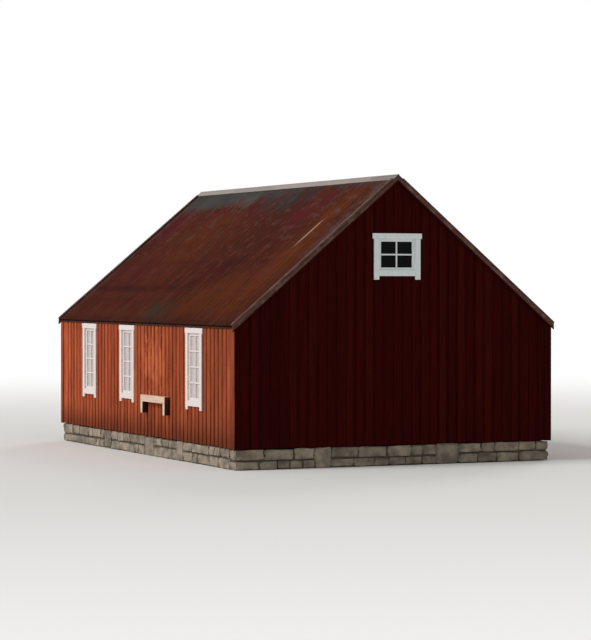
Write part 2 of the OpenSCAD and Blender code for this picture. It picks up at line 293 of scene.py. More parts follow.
def pick(piece, kind, chosen):
    """Selects, in edit mode, only the points (VERT) or faces (FACE) that chosen picks."""
    bpy.ops.mesh.select_mode(type=kind)
    bpy.ops.mesh.select_all(action="DESELECT")
    shape = bmesh.from_edit_mesh(piece.data)
    for part in shape.verts if kind == "VERT" else shape.faces:
        if chosen(part):
            part.select_set(True)
    shape.select_flush_mode()
    bmesh.update_edit_mesh(piece.data)


def started(primitive, **settings):
    """A piece started from a primitive, selected alone, with its place in its mesh."""
    bpy.ops.object.select_all(action="DESELECT")
    primitive(**settings)
    bpy.ops.object.transform_apply()
    return bpy.context.object


def plank(low, high, ease=0.0):
    """A squared board from one corner to the other, with eased edges."""
    low, high = Vector(low), Vector(high)
    board = started(
        bpy.ops.mesh.primitive_cube_add, size=1, location=(low + high) / 2, scale=high - low)
    if ease:
        with editing(board):
            bpy.ops.mesh.bevel(offset=ease, segments=1, affect="EDGES")
    return board


def copied(source, place):
    """A copy with a mesh of its own, moved by the matrix."""
    copy = bpy.data.objects.new(source.name, source.data.copy())
    bpy.context.collection.objects.link(copy)
    copy.data.transform(place)
    return copy


def shifted(x, y, z):
    return Matrix.Translation((x, y, z))


def drop(*objects):
    for obj in objects:
        bpy.data.objects.remove(obj)


def row(first, number, step):
    """That many copies of a board side by side along X, in place of the first."""
    boards = [copied(first, shifted(i * step, 0, 0)) for i in range(number)]
    drop(first)
    return boards


def mark(piece, value):
    """Gives the piece its own number, which the materials read as the attribute board."""
    attribute = piece.data.attributes.get("board")
    attribute = attribute or piece.data.attributes.new("board", "FLOAT", "POINT")
    attribute.data.foreach_set("value", [value] * len(piece.data.vertices))
    return piece


def joined(parts):
    """One object made of all the parts."""
    select_only(*parts)
    bpy.ops.object.join()
    return bpy.context.object


def joined_apart(parts, draw=None):
    """One object made of all the parts, each with its own number, drawn or evenly spread."""
    return joined([
        mark(part, draw.random() if draw else i / len(parts)) for i, part in enumerate(parts)])


def applied(piece, kind, **settings):
    """Adds a modifier and applies it."""
    modifier = piece.modifiers.new(kind.lower(), kind)
    for name, value in settings.items():
        setattr(modifier, name, value)
    select_only(piece)
    bpy.ops.object.modifier_apply(modifier=modifier.name)
    return piece


def cut_by_plane(piece, place, normal, keep=False):
    """Cuts off what lies beyond the plane and closes the cut, or only divides the faces there."""
    with editing(piece):
        bpy.ops.mesh.bisect(plane_co=place, plane_no=normal, use_fill=not keep, clear_outer=not keep)


def sheet_metal(columns, rows, place, thickness, offset=-1):
    """A thin sheet, each of whose points is put where place says for its shares of width and length."""
    metal = started(
        bpy.ops.mesh.primitive_grid_add, x_subdivisions=columns, y_subdivisions=rows, size=1)
    for spot in metal.data.vertices:
        spot.co = place(spot.co.x + 0.5, spot.co.y + 0.5)
    return applied(metal, "SOLIDIFY", thickness=thickness, offset=offset)


def clean_copy(node):
    """A copy of a CAD node as one closed shell of whole faces."""
    copy = copied(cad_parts[node], Matrix.Identity(4))
    copy.data.materials.clear()
    select_only(copy)
    if copy.data.has_custom_normals:
        bpy.ops.mesh.customdata_custom_splitnormals_clear()
    with editing(copy):
        bpy.ops.mesh.remove_doubles(threshold=0.00001)
        bpy.ops.mesh.dissolve_limited(angle_limit=math.radians(0.5))
    return copy


def coat(piece, material):
    """Gives the whole piece one material."""
    piece.data.materials.clear()
    piece.data.materials.append(finish(material))
    return piece


def coat_faces(piece, material, chosen):
    """Gives the faces that chosen picks a further material."""
    piece.data.materials.append(finish(material))
    for face in piece.data.polygons:
        if chosen(face):
            face.material_index = len(piece.data.materials) - 1


def set_in_place(piece, name, slot, *nodes):
    """Names a finished piece, shades it, hangs it from the root body and hides the CAD nodes it stands for.
    The slot is not used.
    """
    piece.name = name
    piece.data.name = name
    select_only(piece)
    bpy.ops.object.shade_smooth_by_angle(angle=math.radians(35))
    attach(piece, "root")
    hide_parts(*nodes)


def dress(node, name, slot, ease, material, other=None, chosen=None):
    """A CAD node as it is, with its edges eased and its coat on, and another one on chosen faces."""
    copy = applied(clean_copy(node), "BEVEL", width=ease, segments=2, limit_method="ANGLE")
    coat(copy, material)
    if other:
        coat_faces(copy, other, chosen)
    set_in_place(copy, name, slot, node)


# Materials

def add(tree, kind, inputs=(), stops=(), **settings):
    """Adds a node with its settings, ramp stops and links.

    Inputs are given by name, or in their order. A node given as a value stands for its first output.
    """
    node = tree.nodes.new("ShaderNode" + kind)
    for name, value in settings.items():
        setattr(node, name, value)
    if stops:
        ramp = node.color_ramp.elements
        ramp.remove(ramp[1])
        ramp[0].position, ramp[0].color = stops[0]
        for place, tone in stops[1:]:
            ramp.new(place).color = tone
    for name, value in inputs.items() if isinstance(inputs, dict) else enumerate(inputs):
        socket = node.inputs[name] if isinstance(name, int) else next(
            s for s in node.inputs if s.enabled and s.name == name)
        if isinstance(value, bpy.types.Node):
            value = next(s for s in value.outputs if s.enabled)
        if isinstance(value, bpy.types.NodeSocket):
            tree.links.new(value, socket)
        else:
            socket.default_value = value
    return node


def shaded(tree, inputs):
    """Ends a material with its shader, whose constants stand on its own sockets."""
    surface = add(tree, "BsdfPrincipled", inputs)
    add(tree, "OutputMaterial", {"Surface": surface})


def folded_place(tree):
    """Object coordinates in which both slopes lie on each other."""
    place = add(tree, "TexCoord").outputs["Object"]
    x, y, z = add(tree, "SeparateXYZ", (place,)).outputs
    return add(tree, "CombineXYZ", (add(tree, "Math", (x,), operation="ABSOLUTE"), y, z))


def own_place(tree, place, apart):
    """The place moved by a piece's own number, so that no two pieces look alike, and that number."""
    piece = add(tree, "Attribute", attribute_name="board")
    moved = add(tree, "VectorMath", (piece.outputs["Vector"], apart, place), operation="MULTIPLY_ADD")
    return moved, piece.outputs["Fac"]


def stretched(tree, place, run, across):
    """The same coordinates, measured in pattern lengths along and across the grain."""
    return add(tree, "VectorMath", (place, (1 / run, 1 / across, 1 / across)), operation="MULTIPLY")


def darker(tone, share):
    """A tone brought towards black by a share of its linear value."""
    return (*[value * share for value in tone[:3]], 1.0)


def three_tones(tone, dark, light):
    return darker(tone, dark), tone, darker(tone, light)


def mottled(tree, place, spot, detail, roughness, stops):
    """A colour that changes in spots of one size, and the spots."""
    spots = add(tree, "TexNoise", {
        "Vector": place, "Scale": 1 / spot, "Detail": detail, "Roughness": roughness})
    return add(tree, "ValToRGB", {"Fac": spots}, stops), spots


def toned_apart(tree, look, number, low, high):
    """Makes each piece darker or lighter by its own number."""
    tone = add(tree, "MapRange", {"Value": number, "To Min": low, "To Max": high})
    return add(tree, "HueSaturation", {"Value": tone, "Color": look})


def around(tree, flat, middle, spans, ragged, raggedness):
    """Distance from a middle, 1 at the half spans, made uneven by a pattern."""
    away = add(tree, "VectorMath", (
        stretched(tree, flat, *spans), (middle[0] / spans[0], middle[1] / spans[1], 0.0)),
        operation="DISTANCE").outputs["Value"]
    return add(tree, "Math", (ragged, raggedness, away), operation="MULTIPLY_ADD")


def tone_laid_over(tree, under, tone, share, measures):
    """Lays a tone over a colour by a share, for every measure from where it begins to where it is full."""
    for value, start, full in measures:
        rise = add(tree, "MapRange", {
            "Value": value, "From Min": start, "From Max": full}, interpolation_type="SMOOTHSTEP")
        share = add(tree, "Math", (rise, share), operation="MULTIPLY")
    return add(tree, "Mix", {"Factor": share, "A": under, "B": tone}, data_type="RGBA")


def sawn_boards(tree, along, tones, relief=0.0012, spread=0.2):
    """Colour, relief and streaks of sawn boards with year rings and knots, each with its own tone."""
    if along == "slope":
        turned = add(tree, "VectorRotate", {
            "Vector": folded_place(tree), "Angle": -PITCH}, rotation_type="Y_AXIS")
    else:
        place = add(tree, "TexCoord").outputs["Object"]
        x, y, z = add(tree, "SeparateXYZ", (place,)).outputs
        turned = add(tree, "CombineXYZ", {"x": (x, y, z), "y": (y, x, z), "z": (z, x, y)}[along])
    place, board = own_place(tree, turned, (31.0, 17.0, 7.0))
    # Streaks of weather are 30 mm wide and run about 900 mm. Year rings on a sawn face are 4 mm apart,
    # drawn 7 mm apart so that they show
    streaks, rings = (
        add(tree, "TexNoise", {
            "Vector": stretched(tree, place, *spans), "Scale": 1.0, "Detail": detail, "Roughness": rough})
        for spans, detail, rough in (((0.9, 0.03), 4.0, 0.62), ((0.25, 0.007), 3.0, 0.7)))
    both = add(tree, "Math", (rings, 0.35, streaks), operation="MULTIPLY_ADD")
    shades = add(tree, "ValToRGB", {"Fac": both}, list(zip((0.5, 0.67, 0.85), tones)))
    # Knots are up to 40 mm wide and about a metre apart on a board
    cells = add(tree, "TexVoronoi", {"Vector": stretched(tree, place, 0.3, 0.12), "Scale": 1.0})
    knots = add(tree, "MapRange", {
        "Value": cells.outputs["Distance"], "From Min": 0.16, "From Max": 0.09, "To Max": 0.45})
    knotty = add(tree, "Mix", {"Factor": knots, "A": shades, "B": darker(tones[0], 0.6)}, data_type="RGBA")
    # A board's hue doesn't follow its tone: the number is scrambled by a saw wave
    scrambled = add(tree, "Math", (board, 7.3), operation="MULTIPLY")
    share = add(tree, "Math", (scrambled,), operation="FRACT")
    hue = add(tree, "MapRange", {
        "Value": share, "To Min": 0.5 - spread * 0.016, "To Max": 0.5 + spread * 0.016})
    tone = add(tree, "MapRange", {"Value": board, "To Min": 1 - spread, "To Max": 1 + spread})
    toned = add(tree, "HueSaturation", {"Hue": hue, "Value": tone, "Color": knotty})
    bump = add(tree, "Bump", {"Height": both, "Strength": 0.7, "Distance": relief})
    return toned, bump, streaks


def plain_boards(tree, along, tones, roughness, gloss, **look):
    """Sawn boards with one even coat, or none."""
    toned, bump, _ = sawn_boards(tree, along, tones, **look)
    shaded(tree, {
        "Base Color": toned, "Normal": bump, "Roughness": roughness, "Specular IOR Level": gloss})


def sun_bleached_red_oil_paint(tree):
    """Oil paint on rough-sawn spruce, bleached by sun and salt: matt, streaked, dirty at the foot."""
    paint = bpy.context.scene.boathouse_paint
    toned, bump, streaks = sawn_boards(
        tree, "z", (paint.sun_red_dark, paint.sun_red, paint.sun_red_light))
    place = add(tree, "TexCoord").outputs["Object"]
    _, along, height = add(tree, "SeparateXYZ", (place,)).outputs
    # The near end has kept more paint, and stretches 0.4 m wide have bleached unevenly
    bleach = add(tree, "MapRange", {
        "Value": along, "From Min": -HALF_L, "From Max": HALF_L, "To Min": 0.9, "To Max": 1.38})
    flat = add(tree, "CombineXYZ", (height, along))
    mottle, flecks = (
        add(tree, "TexNoise", {
            "Vector": stretched(tree, flat, *spans), "Scale": 1.0, "Detail": 4.0, "Roughness": 0.7})
        for spans in ((1.4, 0.4), (0.28, 0.12)))
    uneven = add(tree, "MapRange", {
        "Value": mottle, "From Min": 0.3, "From Max": 0.7, "To Min": 0.74, "To Max": 1.24})
    both = add(tree, "Math", (bleach, uneven), operation="MULTIPLY")
    bleached = add(tree, "HueSaturation", {"Value": both, "Color": toned})
    # The boards above the shelf are the most worn, over about a metre
    worn = around(tree, flat, (1.9, -0.7), (0.55, 0.6), flecks, 6.0)
    aged = tone_laid_over(tree, bleached, darker(paint.sun_red_light, 1.3), 0.85, [(worn, 4.2, 3.3)])
    # Splashed soil darkens the lowest 600 mm
    dirt = add(tree, "Math", (streaks, 1.35), operation="MULTIPLY")
    soiled = tone_laid_over(
        tree, aged, darker(paint.sun_red_dark, 0.4), dirt, [(height, BASE_TOP + 0.6, BASE_TOP)])
    shaded(tree, {"Base Color": soiled, "Normal": bump, "Roughness": 0.88, "Specular IOR Level": 0.1})


def deep_red_paint_with_painted_shade(tree):
    """Thick ox-blood oil paint on rough-sawn spruce that the sun never reaches: nearly matt, and dark to
    stand in for that shade, a painted shade.
    """
    red = bpy.context.scene.boathouse_paint.painted_shade_red
    plain_boards(tree, "z", three_tones(red, 0.7, 1.35), 0.8, 0.03)


def weathered_verge_paint(tree):
    """Verge boards worn to grey-brown wood with lichen, with the gables' red, darkened as painted shade,
    left along the lower edge.
    """
    paint = bpy.context.scene.boathouse_paint
    toned, bump, streaks = sawn_boards(tree, "slope", three_tones(paint.verge, 0.6, 1.5))
    # Lichen grows in blotches of 150 mm with spots in them
    place = add(tree, "TexCoord").outputs["Object"]
    spots = add(tree, "TexNoise", {
        "Vector": place, "Scale": 1 / 0.15, "Detail": 5.0, "Roughness": 0.65})
    grey = tone_laid_over(tree, toned, darker(paint.lichen, 1.5), 0.5, [(spots, 0.46, 0.66)])
    # The height square to the slope, a little uneven, says where the red of painted shade begins
    height = add(tree, "VectorMath", (folded_place(tree), (SIN, 0.0, COS)), operation="DOT_PRODUCT")
    uneven = add(tree, "Math", (streaks, 0.03, height.outputs["Value"]), operation="MULTIPLY_ADD")
    edge = APEX * COS + 0.02
    both = tone_laid_over(tree, grey, paint.painted_shade_red, 1.0, [(uneven, edge + 0.012, edge - 0.004)])
    shaded(tree, {"Base Color": both, "Normal": bump, "Roughness": 0.92, "Specular IOR Level": 0.1})


def brushed_white(tree, tone):
    """White linseed oil paint brushed on planed pine: silky, faintly clouded."""
    place = add(tree, "TexCoord").outputs["Object"]
    # Clouds of dust are 60 mm across. Brush marks are 2 mm, drawn 5 mm so that they show
    shades, _ = mottled(tree, place, 0.06, 5.0, 0.65, [(0.3, darker(tone, 0.88)), (0.65, tone)])
    marks = add(tree, "TexNoise", {"Vector": place, "Scale": 1 / 0.005, "Detail": 2.0})
    bump = add(tree, "Bump", {"Height": marks, "Strength": 0.5, "Distance": 0.0003})
    shaded(tree, {"Base Color": shades, "Normal": bump, "Roughness": 0.55, "Specular IOR Level": 0.3})


def white_paint_with_painted_shade(tree):
    """The white of the gables, which the sun hardly reaches: clean, and tinted cool to stand in for that
    shade, a painted shade.
    """
    brushed_white(tree, bpy.context.scene.boathouse_paint.white)


def white_paint_with_painted_sunlight(tree):
    """The white of the long walls, tinted warm and pinkish to stand in for the low sun on them: painted
    sunlight.
    """
    brushed_white(tree, bpy.context.scene.boathouse_paint.painted_sunlight_white)


def cream_oil_paint(tree):
    """Old cream paint on a planed shelf: warm, slightly yellowed and chalky."""
    cream = bpy.context.scene.boathouse_paint.cream
    plain_boards(tree, "y", three_tones(cream, 0.75, 1.08), 0.7, 0.25, relief=0.0005, spread=0.04)


def dark_wood_for_painted_shade(tree):
    """Brown-black wood, dry, with faint grain, put where shade or shadow falls: painted shade."""
    plain_boards(tree, "z", (linear("#22120D"), linear("#3A2018"), linear("#54342A")), 0.85, 0.1)


def bare_sawn_spruce(tree, along):
    """Unpainted sawn spruce gone brown with age under a roof: dry, with dark year rings along the grain."""
    timber = bpy.context.scene.boathouse_paint.timber
    plain_boards(tree, along, three_tones(timber, 0.5, 1.35), 0.85, 0.2)


def rusted_corrugated_iron(tree):
    """Galvanised corrugated iron that has lost its red paint and most of its zinc: matt brown rust in
    streaks down the slope, orange where it is fresh, crimson where paint is left, grey under the ridge."""
    paint = bpy.context.scene.boathouse_paint
    roof = bpy.context.scene.boathouse_roof
    place = add(tree, "TexCoord").outputs["Object"]
    x, along, _ = add(tree, "SeparateXYZ", (place,)).outputs
    folded = add(tree, "Math", (x,), operation="ABSOLUTE")
    down = add(tree, "Math", (folded, 1 / COS), operation="MULTIPLY")
    flat = add(tree, "CombineXYZ", (down, along))
    # The right slope takes other parts of the same patterns
    right = add(tree, "Math", (x, 0.0), operation="GREATER_THAN")
    own = add(tree, "Math", (right, 9.0), operation="MULTIPLY")
    apart = add(tree, "CombineXYZ", (down, along, own))
    # Runs of rust are 110 mm wide and 1.3 m long, with finer ones of 25 mm in them. Clouds of wear are
    # 0.6 to 0.9 m across. Blotches of lichen, dirt and worn paint are 0.2 to 0.4 m across, with flecks
    runs, clouds, blotches = (
        add(tree, "TexNoise", {
            "Vector": stretched(tree, apart, *spans), "Scale": 1.0, "Detail": detail, "Roughness": rough})
        for spans, detail, rough in (
            ((1.3, 0.11), 5.0, 0.6), ((0.9, 0.6), 4.0, 0.6), ((0.24, 0.38), 5.0, 0.66)))
    long = add(tree, "Math", (clouds, 0.55, runs), operation="MULTIPLY_ADD")
    spotted = add(tree, "Math", (blotches, -0.5), operation="ADD")
    both = add(tree, "Math", (spotted, 0.55, long), operation="MULTIPLY_ADD")
    look = add(tree, "ValToRGB", {"Fac": both}, list(zip(
        (0.58, 0.77, 0.96), three_tones(paint.rust, 0.6, 1.45))))

    # Worn patches: middle down the slope and along the ridge, half spans, tone, strength
    patches = [
        ((1.3, 4.5), (0.6, 0.9), paint.crimson, 0.6),
        ((0.95, 2.7), (0.35, 1.4), paint.crimson, 0.4),
        ((0.9, 0.4), (0.6, 0.7), paint.crimson, 0.45),
        ((0.95, -2.4), (0.65, 0.7), paint.crimson, 0.65),
        ((2.8, 3.6), (0.7, 1.5), paint.crimson, 0.25),
        ((1.7, 1.8), (0.9, 1.7), paint.orange_rust, 0.4),
        ((3.6, -2.3), (0.6, 1.6), paint.orange_rust, 0.6),
        ((2.7, -4.0), (1.6, 0.6), paint.orange_rust, 0.6),
        ((0.8, -3.9), (0.6, 0.6), paint.orange_rust, 0.4),
        ((2.8, -1.3), (0.45, 0.9), darker(paint.crimson, 0.5), 0.5),
        ((4.2, -0.4), (0.5, 0.75), paint.moss, 0.75),
        ((3.5, -0.6), (0.3, 0.8), darker(paint.rust, 0.6), 0.6),
        ((0.5, -0.6), (0.4, 1.3), darker(paint.zinc, 0.6), 0.6),
        ((0.45, 1.5), (0.3, 0.6), paint.lichen, 0.5),
    ]
    ragged = add(tree, "Math", (both, -0.775), operation="ADD")
    for middle, spans, tone, share in patches:
        near = around(tree, flat, middle, spans, ragged, 4.5)
        look = tone_laid_over(tree, look, tone, share, [(near, 1.2, 0.5)])

    # The zinc under the ridge reaches further down towards the far gable
    width = add(tree, "MapRange", {
        "Value": along, "From Min": -1.5, "From Max": 3.6, "To Min": 0.08, "To Max": 0.64})
    bare = add(tree, "Math", (ragged, 0.8, down), operation="MULTIPLY_ADD")
    depth = add(tree, "Math", (bare, width), operation="SUBTRACT")
    # Dirt and a painted shadow lie on both sides of the end lap's lower edge, most of it towards the far
    # gable
    gap = add(tree, "Math", (down, roof.lap_down + 0.05), operation="SUBTRACT")
    lap = add(tree, "Math", (gap,), operation="ABSOLUTE")
    # A strip about 90 mm wide and 0.8 m long is scraped bare on the left slope
    scraped = around(tree, flat, (1.72, -3.80), (0.4, 0.045), ragged, 2.0)
    # Every nail bleeds rust down its crest, dirt fills the lap of each sheet over the next, and the hollow
    # of each wave is darker with dirt and painted shade
    wave = wave_w(roof)
    past = add(tree, "Math", (down, roof.batten_w / 2), operation="SUBTRACT")
    below = add(tree, "Math", (past, batten_step(roof)), operation="FLOORED_MODULO")
    crest = add(tree, "Math", (along, SHEET_END - wave / 2), operation="ADD")
    beside = add(tree, "Math", (crest, roof.nail_step * wave / 2), operation="PINGPONG")
    hollow_dirt_and_shade = add(tree, "Math", (crest, wave / 2), operation="PINGPONG")
    ahead = add(tree, "Math", (along, SHEET_END), operation="ADD")
    seam = add(tree, "Math", (ahead, roof.cover * wave / 2), operation="PINGPONG")
    # Stains, two of them partly painted shade: each with its tone, its strength, and for every measure where
    # it begins and where it is full
    stains_and_painted_shade = [
        (paint.zinc, 0.85, [(depth, 0.28, -0.14)]),
        (darker(paint.rust, 0.55), 0.7, [(lap, 0.16, 0.03), (along, -0.5, 1.8), (clouds, 0.3, 0.5)]),
        (darker(paint.rust, 0.6), 0.6, [(down, 4.15, 4.5), (runs, 0.35, 0.6)]),
        (paint.moss, 0.4, [(down, 3.7, 4.5), (clouds, 0.5, 0.66)]),
        (paint.lichen, 0.6, [(along, -4.3, -4.95), (down, 3.4, 0.8), (blotches, 0.36, 0.56)]),
        (paint.lichen, 0.4, [(along, 4.6, 4.95), (runs, 0.4, 0.6)]),
        (darker(paint.lichen, 0.7), 0.62, [(blotches, 0.5, 0.7), (down, 3.4, 0.8)]),
        (paint.moss, 0.55, [(blotches, 0.48, 0.34), (clouds, 0.38, 0.55)]),
        # The hollows of the waves: dirt, and painted shade of the corrugation
        (darker(paint.rust, 0.45), 0.5, [(hollow_dirt_and_shade, wave * 0.2, wave * 0.48)]),
        (darker(paint.rust, 0.4), 0.6, [(below, 0.42, 0.02), (beside, 0.03, 0.006), (runs, 0.3, 0.5)]),
        (darker(paint.rust, 0.35), 0.5, [(seam, 0.022, 0.004)]),
        (paint.scratch, 0.6, [(scraped, 1.3, 0.4), (right, 1.0, 0.0)]),
    ]
    for tone, share, measures in stains_and_painted_shade:
        look = tone_laid_over(tree, look, tone, share, measures)

    # Flakes of rust are 6 mm, drawn 15 mm so that they show
    flakes = add(tree, "TexNoise", {
        "Vector": apart, "Scale": 1 / 0.015, "Detail": 4.0, "Roughness": 0.7})
    flaked = add(tree, "MapRange", {
        "Value": flakes, "From Min": 0.35, "From Max": 0.65, "To Min": 0.82, "To Max": 1.14})
    sheet = add(tree, "Attribute", attribute_name="board").outputs["Fac"]
    tone = add(tree, "MapRange", {"Value": sheet, "To Min": 0.86, "To Max": 1.14})
    shade = add(tree, "Math", (flaked, tone), operation="MULTIPLY")
    toned = add(tree, "HueSaturation", {"Value": shade, "Color": look})
    rough = add(tree, "MapRange", {"Value": runs, "To Min": 0.7, "To Max": 0.95})
    # Pits are 6 mm
    pits = add(tree, "TexNoise", {"Vector": apart, "Scale": 1 / 0.00625, "Detail": 3.0})
    bump = add(tree, "Bump", {"Height": pits, "Strength": 0.4, "Distance": 0.0006})
    shaded(tree, {"Base Color": toned, "Normal": bump, "Roughness": rough, "Specular IOR Level": 0.05})


def dulled_zinc(tree):
    """Folded zinc flashing dulled by weather: pale warm grey, faintly mottled, half matt."""
    zinc = bpy.context.scene.boathouse_paint.ridge
    place = add(tree, "TexCoord").outputs["Object"]
    # Dull spots are 25 mm across
    shades, spots = mottled(tree, place, 0.025, 3.0, 0.5, [
        (0.35, darker(zinc, 0.88)), (0.65, darker(zinc, 1.07))])
    length = add(tree, "Attribute", attribute_name="board").outputs["Fac"]
    rough = add(tree, "MapRange", {"Value": spots, "To Min": 0.55, "To Max": 0.75})
    shaded(tree, {
        "Base Color": toned_apart(tree, shades, length, 0.72, 1.08), "Roughness": rough,
        "Specular IOR Level": 0.12})


def drawn_glass(tree, painted_reflection_tone, clear, gloss):
    """Old drawn window glass: a pane whose colour is a painted reflection, mottled in clouds of 120 mm."""
    place = add(tree, "TexCoord").outputs["Object"]
    shades, _ = mottled(tree, place, 0.12, 5.0, 0.7, [(0.3, darker(painted_reflection_tone, 0.8)), (0.7, painted_reflection_tone)])
    shaded(tree, {
        "Base Color": shades, "Roughness": 0.1, "Specular IOR Level": gloss, "Transmission Weight": clear})


def glass_with_painted_sky_reflection(tree):
    """The panes of the long walls: pale as a painted reflection of the bright sky, so that they show nearly
    as pale as the paint.
    """
    drawn_glass(tree, linear("#D4CAC8"), 0.08, 0.12)


def glass_with_painted_dark_reflection(tree):
    """The gable panes: clean, and black as a painted dark reflection."""
    drawn_glass(tree, linear("#04090A"), 0.04, 0.04)


def lime_bedded_rubble(tree):
    """Granite rubble split by hand: grey-brown, each stone its own tone, with dark and pale grains."""
    stone = bpy.context.scene.boathouse_paint.stone
    whole = add(tree, "TexCoord").outputs["Object"]
    place, number = own_place(tree, whole, (11.0, 23.0, 5.0))
    # Crystals are 4 mm, drawn 14 mm so that they show; clouds of weathering are 200 mm
    grain = add(tree, "TexNoise", {"Vector": place, "Scale": 1 / 0.014, "Detail": 4.0, "Roughness": 0.75})
    clouds = add(tree, "TexNoise", {"Vector": place, "Scale": 1 / 0.2, "Detail": 4.0})
    both = add(tree, "Math", (grain, 0.6, clouds), operation="MULTIPLY_ADD")
    shades = add(tree, "ValToRGB", {"Fac": both}, list(zip((0.6, 0.8, 1.0), three_tones(stone, 0.55, 1.4))))
    bump = add(tree, "Bump", {"Height": both, "Strength": 0.8, "Distance": 0.006})
    shaded(tree, {
        "Base Color": toned_apart(tree, shades, number, 0.8, 1.2), "Normal": bump, "Roughness": 0.9,
        "Specular IOR Level": 0.3})


def lime_mortar(tree):
    """Sandy lime mortar raked back between the stones: pale, crumbly and matt, in clots of 10 mm."""
    place = add(tree, "TexCoord").outputs["Object"]
    shades, _ = mottled(tree, place, 0.01, 4.0, 0.5, [
        (0.35, linear("#453F37")), (0.65, linear("#6E665B"))])
    shaded(tree, {"Base Color": shades, "Roughness": 0.95, "Specular IOR Level": 0.1})


def forged_black_iron(tree):
    """Hand-forged iron under old tar: near black, with dents of 30 mm and rust in the hollows."""
    place = add(tree, "TexCoord").outputs["Object"]
    shades, dents = mottled(tree, place, 0.03, 3.0, 0.5, [
        (0.4, linear("#4A2C1E")), (0.6, linear("#24211F"))])
    bump = add(tree, "Bump", {"Height": dents, "Strength": 0.6, "Distance": 0.002})
    shaded(tree, {"Base Color": shades, "Normal": bump, "Metallic": 0.6, "Roughness": 0.6})


def matt_studio_floor(tree):
    """A matt pale floor that keeps the shadow near the building and ends in white far away."""
    surface = add(tree, "BsdfPrincipled", {
        "Base Color": linear("#E8E6E3"), "Roughness": 0.95, "Specular IOR Level": 0.0})
    place = add(tree, "TexCoord").outputs["Object"]
    reach = add(tree, "VectorMath", (place,), operation="LENGTH").outputs["Value"]
    # It fades out between 8 m and 45 m from the building's middle
    far = add(tree, "MapRange", {
        "Value": reach, "From Min": 8.0, "From Max": 45.0}, interpolation_type="SMOOTHSTEP")
    share = add(tree, "Math", (far, seen(tree)), operation="MULTIPLY")
    white = add(tree, "Emission", {"Color": linear("#FFFFFF"), "Strength": 1.0})
    mixed = add(tree, "MixShader", (share, surface, white))
    add(tree, "OutputMaterial", {"Surface": mixed})


def seen(tree):
    """1 for what the camera sees, by itself, in gloss or through glass."""
    rays = add(tree, "LightPath").outputs
    either = add(tree, "Math", (rays["Is Camera Ray"], rays["Is Glossy Ray"]), operation="MAXIMUM")
    return add(tree, "Math", (either, rays["Is Transmission Ray"]), operation="MAXIMUM")


FINISHES = {make.__name__: make for make in (
    sun_bleached_red_oil_paint, deep_red_paint_with_painted_shade, weathered_verge_paint, white_paint_with_painted_shade,
    white_paint_with_painted_sunlight, cream_oil_paint, dark_wood_for_painted_shade, rusted_corrugated_iron, dulled_zinc,
    glass_with_painted_sky_reflection, glass_with_painted_dark_reflection, lime_bedded_rubble, lime_mortar, forged_black_iron,
    matt_studio_floor)}
FINISHES.update({
    f"bare_sawn_spruce_{along}": partial(bare_sawn_spruce, along=along)
    for along in ("x", "y", "z", "slope")})


def finish(name):
    """The material of that name, made when it is first asked for."""
    if name not in bpy.data.materials:
        material = bpy.data.materials.new(name)
        material.use_nodes = True
        material.node_tree.nodes.clear()
        FINISHES[name](material.node_tree)
    return bpy.data.materials[name]


# Operators

